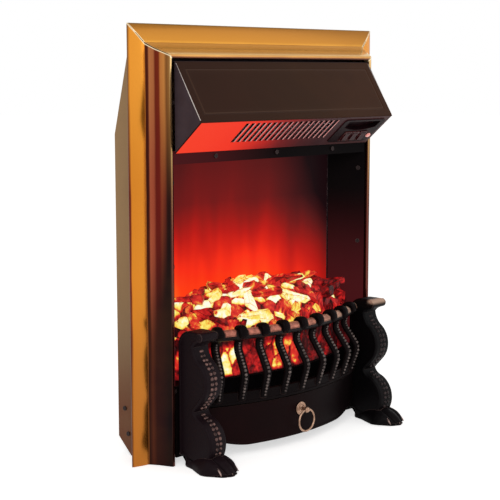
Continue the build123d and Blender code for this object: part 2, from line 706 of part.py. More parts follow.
switch_face = -PANEL_SHEET - SWITCH_FLANGE
pivot_inwards = switch_face + ROCKER_PIVOT
body_length = SWITCH_LENGTH - SWITCH_FLANGE
body_width = SWITCH_WIDTH - SWITCH_FLANGE
cavity_length = ROCKER_LENGTH + 2 * ROCKER_GAP
cavity_width = ROCKER_WIDTH + ROCKER_GAP
cavity_floor = pivot_inwards + ROCKER_HEIGHT - ROCKER_PROUD + 2 * ROCKER_GAP
pin_reach = ROCKER_WIDTH / 2 + ROCKER_PIN_LENGTH
rockers = []
switch_bodies = []
for index in range(3):
    x = panel_left + SWITCH_INSET + index * SWITCH_PITCH
    pivot = hood_plane(x, SWITCH_ALONG, pivot_inwards)
    body = hood_block((x - body_width / 2, x + body_width / 2),
                      (SWITCH_ALONG - body_length / 2, SWITCH_ALONG + body_length / 2),
                      (switch_face, SWITCH_DEPTH))
    panel -= hood_block((x - body_width / 2, x + body_width / 2),
                        (SWITCH_ALONG - body_length / 2, SWITCH_ALONG + body_length / 2),
                        (-2 * PANEL_SHEET, PANEL_SHEET))
    body += hood_block((x - SWITCH_WIDTH / 2, x + SWITCH_WIDTH / 2),
                       (SWITCH_ALONG - SWITCH_LENGTH / 2, SWITCH_ALONG + SWITCH_LENGTH / 2),
                       (switch_face, -PANEL_SHEET))
    body -= hood_block((x - cavity_width / 2, x + cavity_width / 2),
                       (SWITCH_ALONG - cavity_length / 2, SWITCH_ALONG + cavity_length / 2),
                       (switch_face - SHEET, cavity_floor))
    body -= pivot * Cylinder(ROCKER_PIN_RADIUS + RUNNING_GAP, 2 * (pin_reach + RUNNING_GAP))
    cap = Pos(0, (ROCKER_HEIGHT - 2 * ROCKER_PROUD) / 2, 0) * Box(ROCKER_LENGTH, ROCKER_HEIGHT, ROCKER_WIDTH)
    cap = fillet(cap.edges().filter_by(Axis.Z), SHEET)
    cap += Cylinder(ROCKER_PIN_RADIUS, 2 * pin_reach)
    rockers.append(pivot * Rot(0, 0, -ROCKER_TILT) * cap)
    switch_bodies.append(body)

lens_plane = hood_plane(panel_right - LAMP_LENS_INSET, SWITCH_ALONG, 0)
lens_axis = Plane(origin=lens_plane.origin, z_dir=-lens_plane.y_dir)
panel -= lens_axis * Cylinder(LAMP_LENS_RADIUS + RUNNING_GAP, 4 * PANEL_SHEET)
indicator = lens_axis * Pos(0, 0, (PANEL_SHEET + LENS_PROUD - LENS_DEPTH) / 2) * Cylinder(
    LAMP_LENS_RADIUS, PANEL_SHEET + LENS_PROUD + LENS_DEPTH)
indicator += lens_axis * Pos(0, 0, PANEL_SHEET + SHEET / 2) * Cylinder(LAMP_LENS_RADIUS + SHEET, SHEET)
grille -= lens_axis * Cylinder(LAMP_LENS_RADIUS + SHEET, 4 * PANEL_SHEET)

write("hood_canopy", canopy)
write("outlet_grille", grille)
write("control_panel", panel)
write("switch_bodies", *switch_bodies)
for name, rocker in zip(("rocker_flame", "rocker_low_heat", "rocker_high_heat"), rockers):
    write(name, rocker)
write("indicator_lamp", indicator)

# Fan heater: a tangential wheel in a scroll housing above a ribbon element
element_left = grille_left - 2 * ELEMENT_WALL
element_right = grille_right + 2 * ELEMENT_WALL
element_near = slot_near - ELEMENT_WALL
element_far = slot_far + ELEMENT_WALL
element_top = SHEET + ELEMENT_DEPTH
heater_frame = hood_block((element_left, element_right), (element_near, element_far),
                          (SHEET, element_top))
heater_frame -= hood_block((element_left + ELEMENT_WALL, element_right - ELEMENT_WALL),
                           (element_near + ELEMENT_WALL, element_far - ELEMENT_WALL),
                           (0, element_top + SHEET))
ribbon_pitch = SLOT_LENGTH / ELEMENT_RIBBONS
ribbons = []
for index in range(ELEMENT_RIBBONS):
    along = slot_near + (index + 0.5) * ribbon_pitch
    ribbons.append(hood_block((element_left + ELEMENT_WALL, element_right - ELEMENT_WALL),
                              (along - ELEMENT_RIBBON / 2, along + ELEMENT_RIBBON / 2),
                              (SHEET + ELEMENT_WALL, element_top - ELEMENT_WALL)))

wheel_inwards = element_top + HOUSING_GAP + WHEEL_RADIUS
housing_radius = WHEEL_RADIUS + HOUSING_GAP
wheel_left = grille_left + WHEEL_END_ROOM
wheel_right = grille_right - WHEEL_END_ROOM
wheel_length = wheel_right - wheel_left
housing_left = wheel_left - HOUSING_GAP
housing_right = wheel_right + HOUSING_GAP


def scroll_outline(wall):
    """The housing's outline about the wheel, grown by its wall."""
    radius = housing_radius + wall
    throat = Polyline((element_near + HOUSING_SHEET - wall - GRILLE_MIDDLE, element_top - wheel_inwards),
                      (element_far - HOUSING_SHEET + wall - GRILLE_MIDDLE, element_top - wheel_inwards),
                      (radius, 0), (-radius, 0), close=True)
    return Circle(radius) + make_face(throat)


wheel_plane = hood_plane(housing_left, GRILLE_MIDDLE, wheel_inwards)
shell = scroll_outline(HOUSING_SHEET) - scroll_outline(0)
intake_reach = 2 * housing_radius
half_intake = INTAKE_ANGLE / 2
intake = make_face(Polyline(
    (0, 0),
    (intake_reach * cos(radians(45 - half_intake)), intake_reach * sin(radians(45 - half_intake))),
    (intake_reach, intake_reach),
    (intake_reach * cos(radians(45 + half_intake)), intake_reach * sin(radians(45 + half_intake))),
    close=True))
housing = extrude(wheel_plane * (shell - intake), amount=housing_right - housing_left, dir=(1, 0, 0))
end_face = scroll_outline(HOUSING_SHEET) - Circle(WHEEL_SHAFT_RADIUS + SHEET)
for end in (housing_left - HOUSING_SHEET, housing_right):
    end_plane = hood_plane(end, GRILLE_MIDDLE, wheel_inwards)
    housing += extrude(end_plane * end_face, amount=HOUSING_SHEET, dir=(1, 0, 0))

axle = hood_plane(0, GRILLE_MIDDLE, wheel_inwards)
wheel = []
for disc_left in (wheel_left, (wheel_left + wheel_right - WHEEL_DISC) / 2, wheel_right - WHEEL_DISC):
    wheel.append(axle * Pos(0, 0, disc_left + WHEEL_DISC / 2) * Cylinder(WHEEL_RADIUS, WHEEL_DISC))
for index in range(WHEEL_BLADES):
    turn = Rot(0, 0, index * 360 / WHEEL_BLADES)
    blade = Pos(WHEEL_RADIUS - WHEEL_BLADE / 2 - SHEET, 0, (wheel_left + wheel_right) / 2) * Rot(0, 0, 30)
    wheel.append(axle * turn * blade * Box(WHEEL_BLADE, SHEET / 2, wheel_length))
bearing_left = housing_left - HOUSING_SHEET - BEARING_LENGTH
shaft_left = bearing_left
motor_left = housing_right + HOUSING_SHEET
shaft_right = motor_left + BEARING_LENGTH
wheel.append(axle * Pos(0, 0, (shaft_left + shaft_right) / 2) * Cylinder(WHEEL_SHAFT_RADIUS,
                                                                          shaft_right - shaft_left))
fan_wheel = wheel[0] + wheel[1:]
shaft_bore = WHEEL_SHAFT_RADIUS + RUNNING_GAP
fan_bearing = axle * Pos(0, 0, bearing_left + BEARING_LENGTH / 2) * (
    Cylinder(BEARING_RADIUS, BEARING_LENGTH) - Cylinder(shaft_bore, BEARING_LENGTH))
fan_motor = axle * Pos(0, 0, motor_left + MOTOR_LENGTH / 2) * Cylinder(MOTOR_RADIUS, MOTOR_LENGTH)
fan_motor -= axle * Pos(0, 0, motor_left) * Cylinder(shaft_bore, 2 * (BEARING_LENGTH + SHEET))
cutout_plane = hood_plane(element_left - CUTOUT_HEIGHT / 2, GRILLE_MIDDLE,
                          (SHEET + element_top) / 2)
thermal_cutout = cutout_plane * Cylinder(CUTOUT_RADIUS, CUTOUT_HEIGHT)

write("heater_frame", heater_frame)
write("heater_element", *ribbons)
write("blower_housing", housing)
write("fan_wheel", fan_wheel)
write("fan_bearing", fan_bearing)
write("fan_motor", fan_motor)
write("thermal_cutout", thermal_cutout)

# Flame effect: lamps under the bed light a turning spindle of foils, which throws moving light
# through a flame-shaped mask onto the back of the screen
lamp_height = DECK_HEIGHT + LAMP_CLEARANCE + LAMP_RADIUS
holder_x = back_half - HOLDER_INSET
holder_inner = holder_x - HOLDER_LENGTH / 2
holder_outer = holder_x + HOLDER_LENGTH / 2
globe_x = holder_inner - LAMP_LENGTH + LAMP_RADIUS
lamp_outline = make_face(
    Polyline((holder_inner + LAMP_BASE, 0), (holder_inner + LAMP_BASE, LAMP_BASE_RADIUS),
             (holder_inner, LAMP_BASE_RADIUS), (globe_x, LAMP_RADIUS))
    + ThreePointArc((globe_x, LAMP_RADIUS),
                    (globe_x - LAMP_RADIUS * sqrt(0.5), LAMP_RADIUS * sqrt(0.5)),
                    (globe_x - LAMP_RADIUS, 0))
    + Line((globe_x - LAMP_RADIUS, 0), (holder_inner + LAMP_BASE, 0))
)
lamp = Pos(0, -LAMP_REACH, lamp_height) * revolve(lamp_outline, Axis.X)
holder = rod_x((holder_inner, holder_outer), -LAMP_REACH, lamp_height, HOLDER_RADIUS)
holder += block((holder_inner, holder_outer),
                (-LAMP_REACH - HOLDER_RADIUS / 2, -LAMP_REACH + HOLDER_RADIUS / 2),
                (DECK_HEIGHT, lamp_height))
holder -= rod_x((holder_inner - LAMP_BASE, holder_inner + LAMP_BASE), -LAMP_REACH, lamp_height,
                LAMP_BASE_RADIUS + RUNNING_GAP)

bracket_inner = SPINDLE_LENGTH / 2 - SPINDLE_OVERHANG
bracket_front = SPINDLE_DEPTH - BRACKET_DEPTH / 2
bracket_rear = SPINDLE_DEPTH + BRACKET_DEPTH / 2
bracket_top = SPINDLE_HEIGHT + BRACKET_RISE
spindle_bracket = block((bracket_inner, bracket_inner + SHEET), (bracket_front, bracket_rear),
                        (DECK_HEIGHT, bracket_top))
spindle_bracket += block((bracket_inner - BRACKET_FOOT, bracket_inner + SHEET), (bracket_front, bracket_rear),
                         (DECK_HEIGHT, DECK_HEIGHT + SHEET))
bush_hole = rod_x((bracket_inner - BUSH_LENGTH, bracket_inner + BUSH_LENGTH), SPINDLE_DEPTH, SPINDLE_HEIGHT,
                  BUSH_RADIUS)
bush_end = bracket_inner + SHEET
bush = rod_x((bush_end - BUSH_LENGTH, bush_end), SPINDLE_DEPTH, SPINDLE_HEIGHT, BUSH_RADIUS)
bush += rod_x((bush_end, bush_end + SHEET), SPINDLE_DEPTH, SPINDLE_HEIGHT, BUSH_RADIUS + SHEET)
spindle_bore = SPINDLE_RADIUS + RUNNING_GAP
spindle_hole = rod_x((bracket_inner - 2 * BUSH_LENGTH, bracket_inner + 2 * BUSH_LENGTH), SPINDLE_DEPTH,
                     SPINDLE_HEIGHT, spindle_bore)
spindle_bearing = mirrored(bush - spindle_hole)
left_bracket = mirrored(spindle_bracket - bush_hole)
right_bracket = spindle_bracket - spindle_hole
motor_face = bracket_inner + SHEET
spindle_motor = rod_x((motor_face, motor_face + SPINDLE_MOTOR_LENGTH), SPINDLE_DEPTH, SPINDLE_HEIGHT,
                      SPINDLE_MOTOR_RADIUS)
spindle_motor -= rod_x((motor_face - SHEET, SPINDLE_LENGTH / 2 + SHEET), SPINDLE_DEPTH, SPINDLE_HEIGHT,
                       spindle_bore)
spindle = rod_x((-SPINDLE_LENGTH / 2, SPINDLE_LENGTH / 2), SPINDLE_DEPTH, SPINDLE_HEIGHT, SPINDLE_RADIUS)
foil_half = bracket_inner - BUSH_LENGTH - FOIL_END_GAP
foil_count = int(2 * foil_half / FOIL_PITCH)
foils = []
for index in range(foil_count):
    x = (index - (foil_count - 1) / 2) * FOIL_PITCH
    foil = Rot(0, 0, FOIL_LEAN) * Box(FOIL_SHEET, 2 * FOIL_RADIUS * cos(radians(FOIL_LEAN)), FOIL_WIDTH)
    foils.append(Pos(x, SPINDLE_DEPTH, SPINDLE_HEIGHT) * Rot(index * FOIL_TURN, 0, 0) * foil)
spindle = spindle + foils

mask_half = post_outer - SHEET
mask_top = CEILING_HEIGHT - MASK_DROP
mask = block((-mask_half, mask_half), (MASK_DEPTH, MASK_DEPTH + SHEET), (SCREEN_BOTTOM, mask_top))
foot = SCREEN_BOTTOM + FLAME_FOOT
for index, drop in enumerate(FLAME_DROPS):
    x = (index - (len(FLAME_DROPS) - 1) / 2) * FLAME_PITCH
    tip = mask_top - FLAME_HEAD - drop
    belly = foot + FLAME_BELLY * (tip - foot)
    flame = make_face(
        ThreePointArc((x, foot), (x - FLAME_WIDTH / 2, belly), (x, tip))
        + ThreePointArc((x, tip), (x + FLAME_WIDTH / 2, belly), (x, foot))
    )
    mask -= extrude(Plane.XZ * flame, amount=2 * CASING_DEPTH, both=True)

reflector_front = gland_inside - SHEET
reflector_top = CEILING_HEIGHT - REFLECTOR_DROP
reflector = block((-mask_half, mask_half), (reflector_front, gland_inside), (DECK_HEIGHT, reflector_top))
reflector += block((-mask_half, mask_half), (reflector_front - REFLECTOR_FOLD, gland_inside),
                   (reflector_top - SHEET, reflector_top))

write("lamps", lamp, mirrored(lamp))
write("lamp_holders", holder, mirrored(holder))
write("spindle_brackets", left_bracket, right_bracket)
write("spindle_bearing", spindle_bearing)
write("spindle_motor", spindle_motor)
write("flame_spindle", spindle)
write("flame_mask", mask)
write("rear_reflector", reflector)


# Fuel bed: one moulding, open underneath and at the back, with chips standing on it
def around_arc(outline):
    """Turn an outline in (distance from the arc's centre, z) right round the fret's centre line."""
    plane = Plane(origin=(0, arc_centre_y, 0), x_dir=(0, -1, 0), z_dir=(-1, 0, 0))
    return revolve(plane * make_face(outline), Axis((0, arc_centre_y, 0), (0, 0, 1)), 360)


def at_arc(along, outwards, height):
    """A place by distance along the fret's arc, distance in front of it, and height."""
    turn = Pos(0, arc_centre_y, 0) * Rot(0, 0, degrees(along / fret_radius))
    return turn * Pos(0, -fret_radius - outwards, height)


cheek_lean = cheek_run[0] / cheek_run[1]


def bed_plan(inset, rear):
    """The bed's outline in plan between the cheeks and the screen, as a tall prism."""
    front_reach = FRET_REACH
    front_half = firebox_half + cheek_lean * (front_reach - FRAME_REACH) - BED_SIDE_GAP - inset
    rear_half = back_half - cheek_lean * (rear - SCREEN_DEPTH) - BED_SIDE_GAP - inset
    return prism_z(ring_of([(-front_half, -front_reach), (front_half, -front_reach),
                            (rear_half, rear), (-rear_half, rear)]), (0, CEILING_HEIGHT))


def bed_solid(inset, bottom):
    """The bed's mound: an upright front on the arc, two slopes and a level crest."""
    front = bed_radius - inset
    return around_arc(ring_of([(0, bottom), (front, bottom), (front, BED_SHOULDER - inset),
                               (front - BED_KNEE_RUN, BED_KNEE - inset),
                               (front - BED_CREST_RUN, BED_CREST - inset), (0, BED_CREST - inset)]))


bed_rear = SCREEN_DEPTH - BED_REAR_GAP
bed = bed_solid(0, DECK_HEIGHT) & bed_plan(0, bed_rear)
bed -= bed_solid(BED_WALL, DECK_HEIGHT - BED_WALL) & bed_plan(BED_WALL, bed_rear + BED_WALL)


def bed_height(radius):
    """Height of the bed's surface at a distance from the arc's centre."""
    inwards = bed_radius - radius
    if inwards < BED_KNEE_RUN:
        return BED_SHOULDER + (BED_KNEE - BED_SHOULDER) * inwards / BED_KNEE_RUN
    slope = (BED_CREST - BED_KNEE) / (BED_CREST_RUN - BED_KNEE_RUN)
    return min(BED_CREST, BED_KNEE + slope * (inwards - BED_KNEE_RUN))


chips = []
for row in range(CHIP_ROWS):
    inwards = CHIP_WIDTH + row * (bed_radius - arc_centre_y + bed_rear - 2 * CHIP_WIDTH) / (CHIP_ROWS - 1)
    radius = bed_radius - inwards
    for column in range(-CHIP_COLUMNS, CHIP_COLUMNS + 1):
        along = (column + (row % 2) / 2) * CHIP_PITCH
        x = radius * sin(along / radius)
        y = arc_centre_y - radius * cos(along / radius)
        half_room = back_half + cheek_lean * (SCREEN_DEPTH - y) - CHIP_WIDTH
        if abs(x) > half_room or y > bed_rear - CHIP_WIDTH / 2:
            continue
        turn = CHIP_TURN * ((row * 3 + column * 5) % 7 - 3) / 3
        rise = CHIP_HEIGHT * (1 + ((row + column * 2) % 3) / 3)
        chip = extrude(Rectangle(CHIP_LENGTH, CHIP_WIDTH), amount=rise + CHIP_ROOT, taper=CHIP_TAPER)
        place = Pos(x, y, bed_height(radius) - CHIP_ROOT) * Rot(0, 0, degrees(along / radius) + turn)
        chips.append(place * chip)
chips_room = bed_solid(-CHIP_ROOM, BED_SHOULDER - CHIP_WIDTH) & bed_plan(0, bed_rear)
chips_room &= Pos(0, arc_centre_y, CEILING_HEIGHT / 2) * Cylinder(bed_radius, CEILING_HEIGHT)
fuel_bed = bed + [chip & chips_room for chip in chips]
write("fuel_bed", fuel_bed)


# Fret: a rail, nine ribs and a bar cast in one on the arc, between two legs on paw feet
def arc_ring(outline):
    """An arc-shaped casting between the legs, from an outline in (outwards, z)."""
    between = block((-leg_inside, leg_inside), (-2 * FRET_REACH, 0), (-FRET_REACH, CEILING_HEIGHT))
    return around_arc(Pos(fret_radius, 0) * outline) & between


def circle_at(x, y, radius):
    """A closed circle in a section."""
    return Pos(x, y) * Edge.make_circle(radius)


rail = arc_ring(circle_at(-RAIL_INSET, RAIL_HEIGHT, RAIL_RADIUS))
bar = arc_ring(ring_of([(-BAR_THICKNESS / 2, BAR_BOTTOM), (BAR_THICKNESS / 2, BAR_BOTTOM),
                        (BAR_THICKNESS / 2, BAR_TOP), (-BAR_THICKNESS / 2, BAR_TOP)]))
rib_line = FilletPolyline((RAIL_INSET, RIB_TOP), (RIB_NECK_CORNER, RIB_NECK_HEIGHT),
                          (-RIB_BULGE_CORNER, RIB_BULGE_HEIGHT), (0, BAR_BOTTOM + RIB_THICKNESS),
                          radius=RIB_BEND)


def rib_strip(thickness, side, width):
    """A strip of a given thickness on one side of the rib's line, of a given width across."""
    section = make_face(offset(rib_line, thickness, side=side).edges())
    return extrude(Plane.YZ * section, amount=width / 2, both=True)


rib = rib_strip(RIB_THICKNESS / 2, Side.LEFT, RIB_WIDTH)
rib += rib_strip(RIB_THICKNESS / 2, Side.RIGHT, RIB_WIDTH)
rib += rib_strip(RIB_THICKNESS / 2 + RIB_RIDGE, Side.RIGHT, RIB_RIDGE_WIDTH)
rib_pitch = 2 * (leg_inside - RIB_END_ROOM) / RIBS
ribs = []
for index in range(RIBS):
    along = (index - (RIBS - 1) / 2) * rib_pitch
    ribs.append(at_arc(along, 0, 0) * rib)
fret = rail + [bar, *ribs]


def leg_curve(points):
    """One arc of the leg's front, from its three points in (reach, height)."""
    return ThreePointArc(*[(-reach, height) for reach, height in points])


scroll_top = SCROLL_HEIGHT + SCROLL_RADIUS
neck_curve, bulge_curve, waist_curve, knee_curve = [
    leg_curve(points) for points in (LEG_NECK, LEG_BULGE, LEG_WAIST, LEG_KNEE)]
ankle_point = (-LEG_KNEE[-1][0], LEG_KNEE[-1][1])
leg_outline = make_face(
    Polyline((ankle_point[0], 0), (-PAW_HEEL_REACH, 0), (-PAW_HEEL_REACH, LEG_FOOT), (-FRAME_REACH, LEG_FOOT),
             (-FRAME_REACH, scroll_top - LEG_DOME))
    + ThreePointArc((-FRAME_REACH, scroll_top - LEG_DOME),
                    (-FRAME_REACH - (1 - sqrt(0.5)) * LEG_DOME, scroll_top - (1 - sqrt(0.5)) * LEG_DOME),
                    (-FRAME_REACH - LEG_DOME, scroll_top))
    + Line((-FRAME_REACH - LEG_DOME, scroll_top), (-SCROLL_REACH, scroll_top))
    + Line((-SCROLL_REACH, scroll_top), neck_curve @ 0)
    + neck_curve
    + bulge_curve
    + Line(bulge_curve @ 1, waist_curve @ 0)
    + waist_curve
    + knee_curve
    + Line(ankle_point, (ankle_point[0], 0))
)
leg = extrude(Plane.YZ.offset(leg_inside) * leg_outline, amount=LEG_WIDTH, dir=(1, 0, 0))
leg += rod_x((leg_inside, leg_outside), -SCROLL_REACH, SCROLL_HEIGHT, SCROLL_RADIUS)

paw_inside = leg_middle - PAW_WIDTH / 2
toe_width = PAW_WIDTH / TOES


def toe(reach):
    """One toe with its share of the pad, from the heel to its tip at a reach."""
    ball_reach = (ankle_point[0] - reach) / 2
    outline = (
        Polyline((-reach + PAW_TIP / 3, 0), (-TOE_HEEL_REACH, 0), (-TOE_HEEL_REACH, PAW_HEEL),
                 (ankle_point[0], PAW_INSTEP))
        + ThreePointArc((ankle_point[0], PAW_INSTEP), (ball_reach, (PAW_INSTEP + PAW_TIP) / 2 + PAW_TIP / 3),
                        (-reach, PAW_TIP))
        + Line((-reach, PAW_TIP), (-reach + PAW_TIP / 3, 0))
    )
    solid = prism_x(outline, (0, toe_width))
    return fillet(solid.edges().filter_by(GeomType.CIRCLE), TOE_ROUND)


toes = []
for index in range(TOES):
    from_middle = abs(index - (TOES - 1) / 2)
    toes.append(Pos(paw_inside + index * toe_width, 0, 0) * toe(PAW_REACH - TOE_STEP * from_middle))
leg += toes
leg += block((leg_inside - LUG_LENGTH, leg_inside), (-LUG_REACH, -LUG_REACH + LUG_DEPTH),
             (LUG_TOP - LUG_HEIGHT, LUG_TOP))

bolt_tip = leg_inside - BOLT_BITE
bolt_seat = bolt_tip + BOLT_LENGTH
bolts = []
for height, inset in ((RAIL_HEIGHT, RAIL_INSET), ((BAR_TOP + BAR_BOTTOM) / 2, 0)):
    bolt_y = arc_centre_y - sqrt((fret_radius - inset) ** 2 - (leg_inside - BOLT_BITE / 2) ** 2)
    bolt = rod_x((bolt_tip, bolt_seat), bolt_y, height, BOLT_RADIUS)
    bolt += rod_x((bolt_seat, bolt_seat + BOLT_HEAD), bolt_y, height, BOLT_HEAD_RADIUS)
    bolt_hole = rod_x((bolt_tip, bolt_seat), bolt_y, height, BOLT_RADIUS + RUNNING_GAP)
    leg -= [bolt_hole, rod_x((bolt_seat, leg_outside), bolt_y, height, BOLT_HEAD_RADIUS + TOUCH_GAP)]
    fret -= [bolt_hole, mirrored(bolt_hole)]
    bolts += [bolt, mirrored(bolt)]

write("fret_casting", fret)
write("leg_right", leg)
write("leg_left", mirrored(leg))
write("fret_bolts", *bolts)


# Ash-pan cover: a bowed sheet hung on the legs' lugs, with a rosette and a ring
def arc_sheet(outwards_range, z_range, half_width):
    """A strip of the arc between two radii, two heights and both sides of the centre line."""
    near, far = outwards_range
    low, high = z_range
    outline = ring_of([(fret_radius + near, low), (fret_radius + far, low),
                       (fret_radius + far, high), (fret_radius + near, high)])
    return around_arc(outline) & block((-half_width, half_width), (-2 * FRET_REACH, 0), z_range)


cover_half = leg_inside - COVER_SIDE_GAP
sweep_start = leg_inside - COVER_SWEEP
sweep_middle = (leg_inside - COVER_SWEEP_MIDDLE[0], COVER_SWEEP_MIDDLE[1])
cover_inner = COVER_PROUD - COVER_SHEET
cover = arc_sheet((cover_inner, COVER_PROUD), (COVER_BOTTOM, COVER_TOP), cover_half)
cover += arc_sheet((COVER_PROUD, COVER_PROUD + COVER_RIM_PROUD), (COVER_BOTTOM, COVER_BOTTOM + COVER_RIM),
                   sweep_start)
corner_outline = make_face(
    ThreePointArc((sweep_start, COVER_BOTTOM), sweep_middle, (cover_half, LUG_TOP))
    + Polyline((cover_half, LUG_TOP), (leg_inside, LUG_TOP), (leg_inside, 0), (sweep_start, 0),
               (sweep_start, COVER_BOTTOM))
)
corner = extrude(Plane.XZ * corner_outline, amount=2 * FRET_REACH, both=True)
cover -= corner
cover -= mirrored(corner)
cover += arc_sheet((COVER_PROUD - COVER_FOLD, COVER_PROUD), (COVER_TOP - COVER_SHEET, COVER_TOP), cover_half)
ledge = arc_sheet((COVER_PROUD - COVER_FOLD, COVER_PROUD), (LUG_TOP, LUG_TOP + COVER_SHEET), cover_half)
ledge -= block((COVER_LEDGE - cover_half, cover_half - COVER_LEDGE), (-2 * FRET_REACH, 0), (0, COVER_TOP))
cover += ledge
cover_front = -FRET_REACH - COVER_PROUD
cover_back = cover_front + COVER_SHEET
cover -= rod_y(0, (cover_front - SHEET, cover_back + SHEET), ROSETTE_HEIGHT, STUD_RADIUS + RUNNING_GAP)

ball_y = cover_front - BALL_REACH
rosette = rod_y(0, (cover_front - ROSETTE_THICKNESS, cover_front), ROSETTE_HEIGHT, ROSETTE_RADIUS)
rosette += rod_y(0, (cover_front, cover_back + SHEET), ROSETTE_HEIGHT, STUD_RADIUS)
rivet_front = cover_back + RUNNING_GAP
rosette += rod_y(0, (rivet_front, rivet_front + SHEET), ROSETTE_HEIGHT, 2 * STUD_RADIUS)
rosette += rod_y(0, (ball_y, cover_front), ROSETTE_HEIGHT, NECK_RADIUS)
rosette += Pos(0, ball_y, ROSETTE_HEIGHT) * Rot(0, 0, -90) * Sphere(BALL_RADIUS)
rosette -= rod_x((-2 * BALL_RADIUS, 2 * BALL_RADIUS), ball_y, ROSETTE_HEIGHT, EYE_RADIUS)
eye_half = sqrt(BALL_RADIUS ** 2 - EYE_RADIUS ** 2)
ring_sag = RING_RADIUS - sqrt(RING_RADIUS ** 2 - eye_half ** 2)
ring_z = ROSETTE_HEIGHT + ring_sag / 2 - RING_RADIUS
ring = Pos(0, ball_y, ring_z) * Rot(90, 0, 0) * Torus(RING_RADIUS, RING_WIRE)

write("ashpan_cover", cover)
write("ring_rosette", rosette)
write("ring_pull", ring)
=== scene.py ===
# %% [markdown]
# # An electric fireplace insert, lit
# A brass-trimmed inset electric fire. A steel casing sits in the wall, a canopy hides a fan heater,
# a lit screen shows flames, and a cast iron fret on paw feet holds back a bed of moulded coals.
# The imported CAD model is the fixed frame: every piece here is placed in its coordinates, in
# metres, with X to the right, Y into the wall and Z up, and the hearth at Z = 0.

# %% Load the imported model
import math

import bpy
import numpy as np
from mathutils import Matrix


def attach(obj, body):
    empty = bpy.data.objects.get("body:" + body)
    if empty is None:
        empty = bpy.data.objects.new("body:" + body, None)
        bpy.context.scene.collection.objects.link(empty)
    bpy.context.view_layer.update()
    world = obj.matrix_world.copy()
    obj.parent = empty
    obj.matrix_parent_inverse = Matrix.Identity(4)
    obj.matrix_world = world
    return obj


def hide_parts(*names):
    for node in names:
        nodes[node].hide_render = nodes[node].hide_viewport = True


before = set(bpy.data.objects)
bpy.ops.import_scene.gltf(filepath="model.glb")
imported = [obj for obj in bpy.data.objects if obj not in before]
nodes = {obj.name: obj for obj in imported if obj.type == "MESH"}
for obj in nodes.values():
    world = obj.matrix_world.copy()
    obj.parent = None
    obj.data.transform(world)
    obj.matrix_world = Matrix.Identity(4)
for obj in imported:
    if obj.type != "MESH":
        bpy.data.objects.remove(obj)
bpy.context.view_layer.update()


def add_object(name, data):
    """A new object with this data, put into the scene."""
    thing = bpy.data.objects.new(name, data)
    bpy.context.scene.collection.objects.link(thing)
    return thing


# %% [markdown]
# ## The camera
# The photograph looks at the insert from its left front, a little above its middle, through a
# long lens. A long lens far away keeps the uprights almost parallel, so the place is found from
# the corners of the trim rather than guessed. No shift is needed, only a small downward tilt.

# %% Camera
camera_data = bpy.data.cameras.new("photo_camera")
camera_data.lens = 92.69
camera_data.sensor_width = 36.0
camera_data.clip_end = 30.0
camera = add_object("photo_camera", camera_data)
camera.location = (-1.3529, -1.3294, 0.5415)
camera.rotation_euler = (math.radians(82.1), 0.0, math.radians(-45.1))
bpy.context.scene.camera = camera
bpy.context.scene.view_settings.view_transform = "Standard"
print("camera", tuple(round(v, 3) for v in camera.location))

# %% [markdown]
# ## Nodes in few words
# A world or a material is a tree of nodes. Blender's own calls take a line for each node, each
# number and each link. A small class says the same in one call: it adds a node, and feeds each of
# its inputs with another node's socket, a number or a colour.

# %% Node trees
WHITE = (1.0, 1.0, 1.0, 1.0)


def rgb(red, green, blue):
    """A screen colour, 0 to 255, as linear light: an almost black level is divided by 12.92, and any
    other is shifted a little and raised to the power of 2.4."""
    value = np.array([red, green, blue]) / 255.0
    linear = np.where(value <= 0.04045, value / 12.92, ((value + 0.055) / 1.055) ** 2.4)
    return (*linear.tolist(), 1.0)


